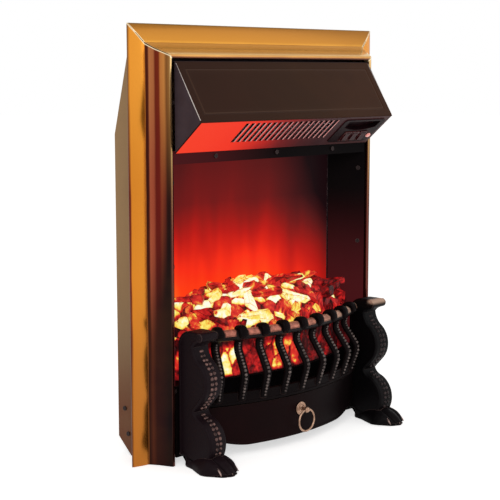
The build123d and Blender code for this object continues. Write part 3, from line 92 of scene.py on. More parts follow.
class NodeTree:
    """A node tree with short ways to add nodes. An input takes a socket, a number or a colour,
    and a colour is three screen levels from 0 to 255, or four linear ones from 0 to 1."""

    def __init__(self, tree):
        self.tree = tree

    def feed(self, node, inputs):
        """Link sockets to a node's inputs, or set the inputs to plain values, by name or number."""
        for label, value in inputs.items():
            socket = node.inputs[label]
            if isinstance(value, bpy.types.NodeSocket):
                self.tree.links.new(value, socket)
            elif socket.type == "RGBA" and len(value) == 3:
                socket.default_value = rgb(*value)
            else:
                socket.default_value = value

    def add(self, kind, inputs=None, **settings):
        """Add a node with its settings, and feed its inputs."""
        node = self.tree.nodes.new("ShaderNode" + kind)
        for label, value in settings.items():
            setattr(node, label, value)
        self.feed(node, inputs or {})
        return node

    def math(self, operation, *values):
        """A Math node on one or two values."""
        return self.add("Math", dict(enumerate(values)), operation=operation).outputs[0]

    def dot(self, first, second):
        """How far two directions agree, from -1 to 1 where both have length one."""
        return self.add("VectorMath", {0: first, 1: second}, operation="DOT_PRODUCT").outputs["Value"]

    def ranged(self, source, low, high, to_low=0.0, to_high=1.0, curve="SMOOTHSTEP"):
        """Map a value from one range to another, eased at both ends, or evenly where curve is LINEAR."""
        ends = {"Value": source, "From Min": low, "From Max": high, "To Min": to_low, "To Max": to_high}
        return self.add("MapRange", ends, interpolation_type=curve).outputs["Result"]

    def noise(self, scale, detail=3.0, roughness=0.5):
        """Noise on Object coordinates, about one half."""
        look = {"Vector": self.add("TexCoord").outputs["Object"], "Scale": scale, "Detail": detail,
                "Roughness": roughness}
        return self.add("TexNoise", look).outputs["Fac"]

    def wobble(self, noise, amount):
        """Noise about nought: its distance from one half, times an amount."""
        return self.math("MULTIPLY", self.math("SUBTRACT", noise, 0.5), amount)

    def blend(self, factor, first, second):
        """Mix two colours by a factor. Inputs 6 and 7 and output 2 are the Mix node's colours."""
        return self.add("Mix", {"Factor": factor, 6: first, 7: second}, data_type="RGBA").outputs[2]

    def ramp(self, source, stops):
        """A colour ramp through stops of (place, red, green, blue), or of (place, level) for a
        grey that carries a number."""
        node = self.add("ValToRGB", {"Fac": source})
        elements = node.color_ramp.elements
        elements.remove(elements[-1])
        elements[0].position = stops[0][0]
        for place, *_ in stops[1:]:
            elements.new(place)
        for element, (_, *levels) in zip(elements, stops):
            element.color = rgb(*levels) if len(levels) == 3 else (*(levels * 3), 1.0)
        return node.outputs["Color"]

    def axis(self, letter):
        """The Object coordinate along X, Y or Z, in metres."""
        return self.add("SeparateXYZ", {0: self.add("TexCoord").outputs["Object"]}).outputs[letter]

    def normal(self):
        """The direction that the surface faces."""
        return self.add("NewGeometry").outputs["Normal"]

    def value(self, label):
        """A number that the mesh carries for each vertex, by name."""
        return self.add("Attribute", attribute_name=label).outputs["Fac"]


print("a screen grey of 128 in linear light", round(rgb(128, 128, 128)[0], 3))

# %% [markdown]
# ## Light
# The object is shot on plain white. A world that is white to the camera and to reflections gives
# polished brass something bright to mirror, while the light it really sheds is softer. One large
# lamp from the left front shapes the forms, a weaker one from the right opens the shadows, and the
# fire adds its own glow from its materials.

# %% World and lamps
world = bpy.data.worlds.new("studio")
bpy.context.scene.world = world
world.use_nodes = True
studio = NodeTree(world.node_tree)
studio.tree.nodes.clear()
rays = studio.add("LightPath").outputs
seen = studio.math("MAXIMUM", rays["Is Camera Ray"], rays["Is Glossy Ray"])
seen = studio.math("MAXIMUM", seen, rays["Is Transmission Ray"])
shed = studio.add("Background", {"Color": (1.0, 0.97, 0.94, 1.0), "Strength": 0.55})
shown = studio.add("Background", {"Color": WHITE, "Strength": 1.0})
choose = studio.add("MixShader", {"Fac": seen, 1: shed.outputs[0], 2: shown.outputs[0]})
studio.add("OutputWorld", {"Surface": choose.outputs[0]})

LAMP_AIM = np.array([0.0, 0.0, 0.3])


def soft_lamp(name, place, size, power):
    """A square area lamp at a place, turned to face the middle of the insert. The tangent of its
    tilt is its level distance from that middle over its height above it."""
    data = bpy.data.lights.new(name, "AREA")
    data.shape = "SQUARE"
    data.size = size
    data.energy = power
    away = np.array(place) - LAMP_AIM
    tilt = math.atan2(math.hypot(away[0], away[1]), away[2])
    lamp = add_object(name, data)
    lamp.location = place
    lamp.rotation_euler = (tilt, 0.0, math.atan2(away[0], -away[1]))


soft_lamp("window_light", (-2.2, -2.0, 2.0), 1.8, 32.0)
soft_lamp("fill_light", (1.8, -2.2, 1.2), 1.6, 9.0)
print("lamps", len(bpy.data.lights))

# %% [markdown]
# ## Shapes from numbers
# Every new piece is a surface: a grid of points worked out by a formula, turned into quads in one
# go. A few helpers do the repeated work. One joins a grid into a skin, one gives a sheet its
# thickness, one writes the mesh in metres, and others round, space and carry paths.

# %% Grids to meshes
MM = 0.001


def surface(x, y, z):
    """Points (x, y, z) from three arrays of places, which are first spread to one shape."""
    return np.stack(np.broadcast_arrays(x, y, z), axis=-1)


def at_x(x, flat):
    """Points (x, y, z) from their X and a flat array of (y, z)."""
    return surface(x, flat[..., 0], flat[..., 1])


def skin(points, wrap=False, cap=False, loop=False):
    """Vertices and faces of a grid of points with shape (rows, columns, 3).
    Neighbouring rows and columns make quads; wrap joins the last column to the first, loop joins
    the last row to the first, and cap closes the first and last row with one face each."""
    rows, columns = points.shape[:2]
    index = np.arange(rows * columns).reshape(rows, columns)
    if wrap:
        index = np.concatenate([index, index[:, :1]], axis=1)
    if loop:
        index = np.concatenate([index, index[:1]])
    quads = np.stack([index[:-1, :-1], index[:-1, 1:], index[1:, 1:], index[1:, :-1]], axis=-1)
    faces = quads.reshape(-1, 4).tolist()
    if cap:
        faces.append(np.arange(columns)[::-1].tolist())
        faces.append((np.arange(columns) + (rows - 1) * columns).tolist())
    return points.reshape(-1, 3), faces


def solid(rings):
    """A closed skin from rings of points, with its two end rings filled."""
    return skin(rings, wrap=True, cap=True)


def shell(points, thickness):
    """A sheet of even thickness: the grid, a copy moved back along its normals, and a rim.
    The normals are the cross product of the grid's two directions of travel."""
    normal = np.cross(np.gradient(points, axis=1), np.gradient(points, axis=0))
    normal /= np.linalg.norm(normal, axis=-1, keepdims=True) + 1e-12
    back = points - normal * thickness
    rows, columns = points.shape[:2]
    count = rows * columns
    front_faces = skin(points)[1]
    back_faces = [[i + count for i in face[::-1]] for face in front_faces]
    index = np.arange(count).reshape(rows, columns)
    rim = np.concatenate([index[0, :], index[1:, -1], index[-1, -2::-1], index[-2:0:-1, 0]])
    ahead = np.roll(rim, -1)
    rim_faces = np.stack([ahead, rim, rim + count, ahead + count], axis=-1).tolist()
    vertices = np.concatenate([points.reshape(-1, 3), back.reshape(-1, 3)])
    return vertices, front_faces + back_faces + rim_faces


def outward(part):
    """The same skin with its faces pointing outwards, told by the sign of its volume, which is a
    sum of tetrahedra from the origin over the faces' fans of triangles."""
    vertices, faces = part
    triangles = [(face[0], face[i], face[i + 1]) for face in faces for i in range(1, len(face) - 1)]
    corner = vertices[np.array(triangles)]
    volume = np.einsum("ij,ij->i", corner[:, 0], np.cross(corner[:, 1], corner[:, 2])).sum() / 6
    return vertices, [face[::-1] for face in faces] if volume < 0 else faces


def join(parts):
    """One list of vertices and faces from several skins. A face's numbers go up by the count of
    the vertices that come before its own skin."""
    vertices, faces, start = [], [], 0
    for part_vertices, part_faces in parts:
        vertices.append(part_vertices)
        faces += [[i + start for i in face] for face in part_faces]
        start += len(part_vertices)
    return np.concatenate(vertices), faces


def piece(name, body, material, parts, replaces=(), sharp=35.0, values=None):
    """Make one object from closed skins in millimetres, and hang it on a CAD body.
    values is a dictionary of per-vertex numbers that a material may read by name."""
    vertices, faces = join([outward(part) for part in parts])
    mesh = bpy.data.meshes.new(name)
    mesh.from_pydata((vertices * MM).tolist(), [], faces)
    for label, numbers in (values or {}).items():
        layer = mesh.attributes.new(label, "FLOAT", "POINT")
        layer.data.foreach_set("value", np.asarray(numbers, np.float32))
    mesh.shade_smooth()
    mesh.set_sharp_from_angle(angle=math.radians(sharp))
    mesh.materials.append(material)
    thing = add_object(name, mesh)
    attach(thing, body)
    if replaces:
        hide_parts(*replaces)
    print(f"{name}: {len(vertices)} vertices, {sum(len(face) - 2 for face in faces)} triangles")


print("four points make one quad", skin(np.zeros((2, 2, 3)))[1])

# %% [markdown]
# Most pieces start as a path: a few corners that are rounded, spaced out evenly, and then carried
# along a line, round an arc or through space. Noise on a lattice roughens the coals. Each helper
# works on whole arrays, so that a piece is worked out in one go.


# %% Paths and profiles
def unit(vectors):
    """The same directions with a length of one: each is divided by its own length."""
    return vectors / np.linalg.norm(vectors, axis=-1, keepdims=True)


def share_of(x, start, span):
    """How far x has come along a span: (x - start) / span, held between 0 and 1."""
    return np.clip((x - start) / span, 0, 1)


def bell(x, middle, width):
    """A smooth hump of height one: e to the power of minus ((x - middle) / width) squared."""
    return np.exp(-((x - middle) / width) ** 2)


def full_turn(count):
    """Angles all the way round in even steps, less the last, which is the first again."""
    return np.linspace(0, 2 * math.pi, count, endpoint=False)


def rounded(points, radius, steps=6):
    """A path through the points with each inner corner replaced by an arc of the given radius.
    The arc starts and ends at radius over the tangent of half the angle between the two sides.
    A point on a straight line has no corner to round, and comes back as many times as steps."""
    points = [np.array(p, float) for p in points]
    path = [points[0]]
    for before, corner, after in zip(points[:-2], points[1:-1], points[2:]):
        back, on = unit(before - corner), unit(after - corner)
        half = 0.5 * math.acos(float(np.clip(back @ on, -1.0, 1.0)))
        reach = min(radius / math.tan(half), 0.49 * np.linalg.norm(before - corner),
                    0.49 * np.linalg.norm(after - corner))
        bend = reach * math.tan(half)
        middle = corner + (back + on) / np.linalg.norm(back + on) * bend / math.sin(half)
        start, end = corner + back * reach, corner + on * reach
        for share in np.linspace(0, 1, steps):
            path.append(middle + unit(start + (end - start) * share - middle) * bend)
    path.append(points[-1])
    return np.array(path)


def travelled(path):
    """The length along a path at each of its points: the sum of the straight steps before it."""
    return np.concatenate([[0], np.cumsum(np.linalg.norm(np.diff(path, axis=0), axis=1))])


def spaced(path, step):
    """The path again, with its points an even step apart along its length, each read off between
    two of the old points in a straight line."""
    lengths = travelled(path)
    wanted = np.linspace(0, lengths[-1], max(2, int(round(lengths[-1] / step)) + 1))
    return np.stack([np.interp(wanted, lengths, values) for values in path.T], axis=-1)


def sides_of(path):
    """Unit normals of a flat path, to its left: its direction (x, y) turned to (-y, x)."""
    travel = np.gradient(path, axis=0)
    return unit(np.stack([-travel[:, 1], travel[:, 0]], axis=-1))


def arc_through(start, middle, end, count):
    """Points on the circle through three points, from the first to the last. The circle's middle is
    equally far from all three, which gives two linear equations for its two places."""
    (ax, ay), (bx, by), (cx, cy) = start, middle, end
    a, b, c = ax**2 + ay**2, bx**2 + by**2, cx**2 + cy**2
    d = 2 * (ax * (by - cy) + bx * (cy - ay) + cx * (ay - by))
    ux = (a * (by - cy) + b * (cy - ay) + c * (ay - by)) / d
    uy = (a * (cx - bx) + b * (ax - cx) + c * (bx - ax)) / d
    first, mid, last = (math.atan2(p[1] - uy, p[0] - ux) for p in (start, middle, end))
    turn = (last - first) % (2 * math.pi)
    if (mid - first) % (2 * math.pi) > turn:
        turn -= 2 * math.pi
    angle = first + turn * np.linspace(0, 1, count)
    radius = math.hypot(ax - ux, ay - uy)
    return np.stack([ux + radius * np.cos(angle), uy + radius * np.sin(angle)], axis=-1)


def tube(path, radius, around=10):
    """A round tube along a path in space: circles square to the direction of travel. The radius
    is one number, or one for each point. Each side vector is square to the travel and a fixed guide."""
    travel = unit(np.gradient(path, axis=0))
    guide = np.array([0.0, 0.0, 1.0]) if abs(travel[0, 2]) < 0.9 else np.array([1.0, 0.0, 0.0])
    side = unit(np.cross(travel, guide))
    up = np.cross(side, travel)
    angle = full_turn(around)[:, None]
    radius = np.broadcast_to(radius, len(path))[:, None, None]
    return solid(path[:, None] + radius * (np.cos(angle) * side[:, None] + np.sin(angle) * up[:, None]))


def balls(centres, radii, around=10, rings=6):
    """Small closed balls, one for each centre: rings of points between two poles.
    A point is the centre plus the radius times (sin a cos b, sin a sin b, cos a)."""
    a = np.linspace(0, math.pi, rings + 1)[1:-1, None]
    b = full_turn(around)
    belt = surface(np.sin(a) * np.cos(b), np.sin(a) * np.sin(b), np.cos(a))
    return [solid(centre + belt * radius) for centre, radius in zip(centres, radii)]


def value_noise(x, y, z, seed):
    """Smooth noise from -1 to 1: random numbers on a cubic lattice, blended between its corners
    with the curve 3t^2 - 2t^3, for whole arrays of places at once."""
    table = np.random.default_rng(seed).uniform(-1, 1, 4096)
    cell = [np.floor(v).astype(int) for v in (x, y, z)]
    part = [v - c for v, c in zip((x, y, z), cell)]
    ease = [p * p * (3 - 2 * p) for p in part]
    total = 0.0
    for corner in np.ndindex(2, 2, 2):
        key = sum((c + i) * stride for c, i, stride in zip(cell, corner, (73, 179, 283))) % len(table)
        total = total + table[key] * math.prod(e if i else 1 - e for e, i in zip(ease, corner))
    return total


print("helpers ready")

# %% [markdown]
# ## Shared surface effects
# Real sheet, castings and plastics are never one flat colour. Three effects come back on almost
# every piece, so each is a node group: a slow mottle between two colours, a fine grain that
# ruffles the gloss, and wear that finds the outside edges. The shader itself stays in each
# material, where its own numbers are set.

# %% Node groups
FLOAT, COLOUR, VECTOR = "NodeSocketFloat", "NodeSocketColor", "NodeSocketVector"


def new_group(name, inputs, outputs):
    """An empty node group with named sockets: its tree, what it is given, and its output node."""
    group = bpy.data.node_groups.new(name, "ShaderNodeTree")
    for label, (kind, value) in inputs.items():
        group.interface.new_socket(label, in_out="INPUT", socket_type=kind).default_value = value
    for label, kind in outputs.items():
        group.interface.new_socket(label, in_out="OUTPUT", socket_type=kind)
    return NodeTree(group), group.nodes.new("NodeGroupInput").outputs, group.nodes.new("NodeGroupOutput")


mottle_tree, given, results = new_group(
    "Mottle", {"Colour": (COLOUR, (0.5, 0.5, 0.5, 1)), "Second colour": (COLOUR, (0.4, 0.4, 0.4, 1)),
               "Scale": (FLOAT, 20.0), "Amount": (FLOAT, 0.5)}, {"Colour": COLOUR})
patch = mottle_tree.ranged(mottle_tree.noise(given["Scale"], 4.0, 0.6), 0.35, 0.68)
patch = mottle_tree.math("MULTIPLY", patch, given["Amount"])
mottle_tree.feed(results, {"Colour": mottle_tree.blend(patch, given["Colour"], given["Second colour"])})

grain_tree, given, results = new_group(
    "Fine grain", {"Scale": (FLOAT, 600.0), "Depth": (FLOAT, 0.1), "Gloss": (FLOAT, 0.4),
                   "Gloss spread": (FLOAT, 0.1)}, {"Normal": VECTOR, "Roughness": FLOAT})
fine = grain_tree.noise(given["Scale"], 2.0, 0.6)
bump = grain_tree.add("Bump", {"Distance": 0.0006, "Strength": given["Depth"], "Height": fine})
rough = grain_tree.math("ADD", grain_tree.wobble(fine, given["Gloss spread"]), given["Gloss"])
grain_tree.feed(results, {"Normal": bump.outputs["Normal"], "Roughness": rough})

wear_tree, given, results = new_group(
    "Edge wear", {"Width": (FLOAT, 0.001), "Amount": (FLOAT, 0.5)}, {"Mask": FLOAT})
softened = wear_tree.add("Bevel", {"Radius": given["Width"]}, samples=4)
edge = wear_tree.ranged(wear_tree.dot(softened.outputs["Normal"], wear_tree.normal()), 0.99, 0.80)
broken = wear_tree.ranged(wear_tree.noise(60.0, 4.0, 0.7), 0.3, 0.6)
edge = wear_tree.math("MULTIPLY", wear_tree.math("MULTIPLY", edge, broken), given["Amount"])
wear_tree.feed(results, {"Mask": edge})
print("groups", [group.name for group in bpy.data.node_groups])

# %% [markdown]
# ## A finish is a material
# One Principled shader can be steel, iron, brass or resin. A finish feeds it a colour that is
# seldom even, and a roughness and a normal from the fine grain. How much it is a metal and how
# strongly it reflects are nearly always plain numbers on the shader's own sockets. Most finishes
# differ only in their numbers, so one function makes them.

# %% Materials
finishes = {}


class Finish(NodeTree):
    """A new material: its node tree, its Principled shader and the shared effects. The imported
    model brings plain materials of the same names, so the new ones are kept in finishes."""

    def __init__(self, name):
        self.material = bpy.data.materials.new(name)
        self.material.use_nodes = True
        super().__init__(self.material.node_tree)
        self.shader = self.tree.nodes["Principled BSDF"]
        finishes[name] = self.material

    def effect(self, shared, inputs):
        """Place one of the shared node groups, and return its outputs."""
        return self.add("Group", inputs, node_tree=shared.tree).outputs

    def mottled(self, colour, second, scale, amount):
        """A colour with slow patches of a second one."""
        look = {"Colour": colour, "Second colour": second, "Scale": scale, "Amount": amount}
        return self.effect(mottle_tree, look)["Colour"]

    def edges(self, width, amount):
        """How worn the surface is: the outside edges, broken up by noise."""
        return self.effect(wear_tree, {"Width": width, "Amount": amount})["Mask"]

    def worn(self, colour, bare, width, amount):
        """A colour that is worn to a bare one along the edges."""
        return self.blend(self.edges(width, amount), colour, bare)

    def shade(self, colour, grain, metallic=0.0, specular=0.5, glow=None, strength=1.0):
        """Feed the shader its colour, its metal, its reflections, any glow, and a fine grain of
        (scale, depth, gloss, spread of gloss). Returns the material."""
        ruffle = self.effect(grain_tree, dict(zip(("Scale", "Depth", "Gloss", "Gloss spread"), grain)))
        self.feed(self.shader, {"Base Color": colour, "Metallic": metallic, "Specular IOR Level": specular,
                                "Normal": ruffle["Normal"], "Roughness": ruffle["Roughness"]})
        if glow is not None:
            self.feed(self.shader, {"Emission Color": glow, "Emission Strength": strength})
        return self.material


def plain_finish(name, colour, second, metallic=0.0, gloss=0.45, specular=0.3, mottle=25.0, amount=0.6,
                 grain=600.0, depth=0.1, wear=0.0, bare=None, width=0.0012):
    """A finish from the three shared effects: mottled colour, fine grain and worn edges."""
    paint = Finish(name)
    coat = paint.mottled(colour, second, mottle, amount)
    if wear:
        coat = paint.worn(coat, bare, width, wear)
    return paint.shade(coat, (grain, depth, gloss, 0.15), metallic, specular)


def dress(node, material):
    """Give a CAD node's object one material."""
    materials = nodes[node].data.materials
    materials.clear()
    materials.append(material)


print("material helpers ready")

# %% [markdown]
# ## Finishes for the plain pieces
# Most hidden pieces keep their CAD shape, and only need an honest finish: galvanised or painted
# steel, foil, glass, moulded plastic. Each is one call that sets its colours, its gloss, how
# coarse its grain is and how much bare metal shows on its edges.

# %% Plain finishes
plain_finish("firebox_paint", (9, 6, 7), (15, 10, 11), gloss=0.5, specular=0.02, mottle=14, grain=900,
             depth=0.12, wear=0.5, bare=(70, 50, 46), width=0.0008)
plain_finish("bright_steel", (190, 188, 184), (150, 147, 142), metallic=1.0, gloss=0.28, mottle=90,
             grain=1500, wear=0.4, bare=(225, 224, 220))
plain_finish("dark_screw_steel", (44, 34, 34), (28, 21, 22), metallic=0.5, gloss=0.4, specular=0.1,
             mottle=120, grain=1500, wear=0.6, bare=(112, 92, 90))
plain_finish("foil_aluminium", (206, 207, 209), (178, 179, 182), metallic=1.0, gloss=0.22, mottle=40,
             grain=300, depth=0.25)
plain_finish("motor_steel", (128, 130, 134), (96, 98, 101), metallic=0.9, gloss=0.4, mottle=60, grain=900,
             depth=0.15, wear=0.5, bare=(178, 176, 170))
plain_finish("galvanised_steel", (150, 152, 152), (122, 124, 126), metallic=0.85, gloss=0.42, mottle=70,
             amount=0.9, grain=500)
plain_finish("lamp_glass", (236, 150, 90), (220, 90, 50), gloss=0.12, specular=0.5, mottle=30, grain=800,
             depth=0.02)
plain_finish("holder_plastic", (228, 224, 212), (206, 200, 186), gloss=0.4, mottle=30, grain=1200, depth=0.08)
plain_finish("gland_plastic", (32, 32, 33), (24, 24, 25), mottle=40, grain=1400)
# The panel's reddish edges and the rockers' pale pink edges, set as wear, are painted highlights.
plain_finish("panel_plastic", (22, 9, 12), (34, 15, 19), gloss=0.4, specular=0.04, mottle=40, grain=1500,
             wear=0.5, bare=(120, 50, 48), width=0.0006)
plain_finish("switch_plastic", (54, 20, 25), (34, 13, 17), gloss=0.3, specular=0.08, mottle=60, grain=1500,
             depth=0.05, wear=0.8, bare=(196, 110, 104), width=0.0006)
# The posts' pale edges, set as wear, are a painted highlight.
plain_finish("post_paint", (16, 10, 13), (26, 18, 23), specular=0.04, mottle=20, grain=900, wear=0.8,
             bare=(120, 96, 100))
print("finishes", len(finishes))

# %% [markdown]
# ## The casing's grey coat
# The casing is pressed steel with a thin grey-brown coat. Low down the red glow of the fire is
# painted into its colour as a ramp on height, under the same mottle, wear and grain as the rest.

# %% Casing paint
paint = Finish("casing_paint")
# painted red glow of the fire, strongest near the hearth
fire_glow_low = paint.ranged(paint.axis("Z"), 0.30, 0.02)
coat = paint.ramp(fire_glow_low, [(0.0, 160, 129, 93), (0.5, 142, 114, 86), (1.0, 108, 60, 42)])
coat = paint.worn(paint.mottled(coat, (134, 108, 80), 9.0, 0.35), (168, 150, 128), 0.001, 0.6)
paint.shade(coat, (700.0, 0.12, 0.45, 0.15), metallic=0.08, specular=0.06)
print("casing paint ready")

# %% [markdown]
# ## Brass trim
# Three strips of folded brass, mitred like a picture frame. The section is a slightly bowed outer
# band, a steep face that rises to a rounded nose, and a lip that turns back into the opening.
# Carrying a rounded section along each strip gives the soft bends that catch light, and pulling
# the ends in by the distance from the outer edge cuts the mitre. Each point also remembers how far
# across the section it lies, because lacquered brass mirrors the room, and those reflections are
# painted into its colour as streaks that follow the section.

# %% Trim section
TRIM_HALF, TRIM_TOP, TRIM_SHEET = 250.0, 605.0, 1.2
band = arc_through((0.0, 1.2), (13.5, 5.2), (27.0, 7.0), 14)
nose = rounded([(26.9, 7.0), (41.0, 38.8), (46.8, 38.8), (46.8, 28.0)], 2.6, 7)
steep = rounded([band[-1], nose[1] * 0.4 + band[-1] * 0.6, nose[1]], 3.0, 5)
face_side = np.concatenate([band[:-1], steep[1:-1], nose[1:]])
wall_side = face_side - sides_of(face_side) * TRIM_SHEET
section = np.concatenate([face_side, wall_side[::-1]])
across_face = travelled(face_side) / travelled(face_side)[-1]
across = np.concatenate([across_face, across_face[::-1]])
print("section points", len(section), "face length", round(float(travelled(face_side)[-1]), 1))

# %% [markdown]
# The strips bow by a quarter of a millimetre, as thin brass does, so that their reflections wander
# instead of running ruler straight. At a mitre the raw cut edge carries a bright painted highlight.

# %% Trim strips
STRIP_STEPS = np.concatenate([[0, 0.0012, 0.003, 0.006], np.linspace(0.012, 0.988, 56),
                              [0.994, 0.997, 0.9988, 1.0]])[:, None]
STRIP_BOW, BOW_LENGTH = 0.25, 71.0
MITRE_GAP, MITRE_GAPE, LIP_PLACE = 0.35, 1.3, 47.0
TOP_GAP = 0.1


def strip(ends_of, place):
    """Carry the section along a strip: ends_of gives each section point its two end positions,
    low (1 - t) + high t lies between them, and place turns (distance across, reach, position)
    into points. The bow is a slow sine along the strip, times half a sine wave across it."""
    low, high = ends_of(section[:, 0])
    position = low * (1 - STRIP_STEPS) + high * STRIP_STEPS
    wander = STRIP_BOW * np.sin(position / BOW_LENGTH) * np.sin(math.pi * across)
    return solid(place(section[:, 0], section[:, 1] + wander, position))


def side_strip(side):
    """A side strip: it stands on the hearth and its top is cut at 45 degrees, so each point ends as
    far below the top as it lies across. The cut leaves a small gap, wider in the middle, where
    the fold springs open."""
    return strip(lambda s: (0 * s, TRIM_TOP - s - MITRE_GAP
                            - MITRE_GAPE * np.sin(math.pi * share_of(s, 0.0, LIP_PLACE))),
                 lambda s, reach, z: surface(side * (TRIM_HALF - s), -reach, z))


def top_strip():
    """The top strip, cut at 45 degrees at both ends: each point ends at half the width, less its
    distance across and a small gap."""
    return strip(lambda s: (-(TRIM_HALF - s - TOP_GAP), TRIM_HALF - s - TOP_GAP),
                 lambda s, reach, x: surface(x, -reach, TRIM_TOP - s))


def strip_values(both_ends=False):
    """For each vertex of a strip: how far across the section it lies, and how strong the painted
    highlight is on the raw edge of a mitre, at the last end or at both."""
    mitre_glint = np.zeros(len(STRIP_STEPS))
    mitre_glint[-2:] = 1.0, 0.6
    if both_ends:
        mitre_glint = mitre_glint + mitre_glint[::-1]
    return {"across": np.tile(across, len(mitre_glint)), "mitre_highlight": np.repeat(mitre_glint, len(across))}


print("strip grid", len(STRIP_STEPS), "by", len(section))

# %% [markdown]
# Polished brass shows what stands around it. Those reflections are painted in as colour across
# the section: bright gold on the band, a dark line in the fold, brown and dark red up the steep
# face. Near the hearth the face is painted darker, a painted reflection of the black fret that
# stands in front of it, and high up it is painted paler, as a painted highlight.

# %% Brass
def brass(name, stops, fret_reflection_stops=None, highlight_stops=None, metallic=0.9):
    """Lacquered brass whose reflections are painted in: a ramp of colour across the section, and other
    ramps for a painted reflection of the fret low down and a painted highlight high up.
    """
    metal = Finish(name)
    spread = metal.value("across")
    place = metal.math("ADD", spread, metal.wobble(metal.noise(9.0, 2.0), 0.05))
    colour = metal.ramp(place, stops)
    # painted reflection of the black fret low down, painted highlight high up
    if fret_reflection_stops:
        height = metal.axis("Z")
        lift = metal.math("MULTIPLY", metal.math("MULTIPLY", spread, spread), 0.3)
        low = metal.ranged(metal.math("SUBTRACT", height, lift), 0.27, 0.09)
        colour = metal.blend(low, colour, metal.ramp(place, fret_reflection_stops))
        colour = metal.blend(metal.ranged(height, 0.36, 0.56), colour, metal.ramp(place, highlight_stops))
    colour = metal.mottled(colour, (190, 118, 36), 6.0, 0.03)
    # painted highlight on the raw edge at each mitre
    colour = metal.blend(metal.value("mitre_highlight"), colour, (255, 236, 196))
    return metal.shade(colour, (350.0, 0.02, 0.2, 0.06), metallic)


side_brass = brass(
    "side_brass",
    [(0.0, 84, 26, 18), (0.03, 110, 40, 22), (0.045, 200, 122, 34), (0.29, 206, 128, 38),
     (0.33, 184, 104, 32), (0.352, 44, 10, 5), (0.395, 54, 11, 6), (0.42, 146, 70, 46), (0.49, 136, 60, 40),
     (0.53, 88, 18, 12), (0.60, 92, 19, 13), (0.645, 118, 50, 28), (0.71, 100, 38, 22), (0.75, 44, 15, 8),
     (0.82, 40, 14, 8), (0.845, 200, 156, 92), (0.87, 60, 26, 14), (1.0, 70, 38, 22)],
    [(0.0, 64, 22, 16), (0.045, 176, 106, 36), (0.29, 180, 112, 42), (0.33, 128, 72, 26), (0.36, 24, 5, 5),
     (0.43, 66, 28, 17), (0.50, 38, 12, 11), (0.63, 30, 9, 10), (0.74, 16, 6, 8), (0.80, 14, 5, 7),
     (0.845, 104, 54, 46), (1.0, 24, 9, 10)],
    [(0.0, 104, 66, 40), (0.045, 232, 150, 50), (0.30, 236, 156, 54), (0.335, 214, 130, 42),
     (0.352, 60, 17, 8), (0.395, 72, 20, 10), (0.42, 170, 104, 60), (0.50, 160, 94, 54), (0.53, 100, 28, 14),
     (0.60, 108, 32, 16), (0.63, 176, 108, 52), (0.70, 186, 122, 60), (0.745, 120, 74, 34),
     (0.80, 140, 96, 48), (0.845, 226, 190, 130), (0.87, 80, 44, 22), (1.0, 84, 48, 28)])
top_brass = brass(
    "top_brass",
    [(0.0, 110, 80, 16), (0.03, 156, 98, 4), (0.12, 162, 103, 4), (0.29, 172, 112, 10), (0.335, 196, 136, 34),
     (0.36, 232, 178, 84), (0.39, 240, 186, 92), (0.48, 236, 184, 94), (0.77, 232, 184, 98),
     (0.81, 208, 150, 74), (0.845, 110, 54, 22), (0.87, 36, 12, 9), (1.0, 60, 30, 16)], metallic=0.6)

for side, node in ((-1, "trim_left"), (1, "trim_right")):
    piece(node + "_brass", "carcass", side_brass, [side_strip(side)], [node], 50.0,
          strip_values())
piece("trim_top_brass", "carcass", top_brass, [top_strip()], ["trim_top"], 50.0,
      strip_values(both_ends=True))

# %% [markdown]
# ## The canopy
# The hood is one sheet: a sloping front with a fine line pressed round it, and two cheeks. The
# front is a grid whose points sink a little where they are near the line, with a soft, rounded
# profile, so the press mark has real depth. Thin pale beads along the folded corners are a
# painted highlight on those edges.

# %% Canopy
HOOD_HALF, HOOD_SHEET = 199.3, 1.1
HOOD_TOP, HOOD_LIP, HOOD_HEEL = np.array([(-38.6, 555.4), (-90.0, 475.0), (-38.3, 432.2)])
PRESS_INSET, PRESS_DEPTH, PRESS_WIDTH = 12.8, 0.5, 0.8
FINE_INSET, FINE_REACH = 12.0, 3
CORNER_BEAD, FOLD_ROUND = 0.75, 1.6
SIDE_INSET, SIDE_BULGE = 0.25, 0.12
GLINT_INSET, GLINT_WIDTH, GLINT_AMOUNT = 13.9, 0.7, 0.55


def axis_values(half, coarse):
    """Places from -half to half, close together near the pressed line and the edges."""
    marks = [-half, -half + FINE_INSET, half - FINE_INSET, half]
    near = np.concatenate([mark + np.linspace(-FINE_REACH, FINE_REACH, 13) for mark in marks])
    return np.unique(np.clip(np.concatenate([near, np.linspace(-half, half, coarse)]), -half, half))


slope = HOOD_LIP - HOOD_TOP
slope_length = float(np.linalg.norm(slope))
slope_way = slope / slope_length
slope_out = np.array([slope_way[1], -slope_way[0]])
down_slope = axis_values(slope_length / 2, 14) + slope_length / 2
grid_s, grid_x = np.meshgrid(down_slope, axis_values(HOOD_HALF, 40), indexing="ij")
to_edge = np.minimum(HOOD_HALF - np.abs(grid_x), np.minimum(grid_s, slope_length - grid_s))
sink = PRESS_DEPTH * bell(to_edge, PRESS_INSET, PRESS_WIDTH) + np.clip(1 - to_edge / FOLD_ROUND, 0, 1) ** 2
front = at_x(grid_x, HOOD_TOP + grid_s[..., None] * slope_way - sink[..., None] * slope_out)
canopy_front = shell(front[:, ::-1], HOOD_SHEET)
print("canopy front grid", front.shape[:2], "slope", round(slope_length, 1))


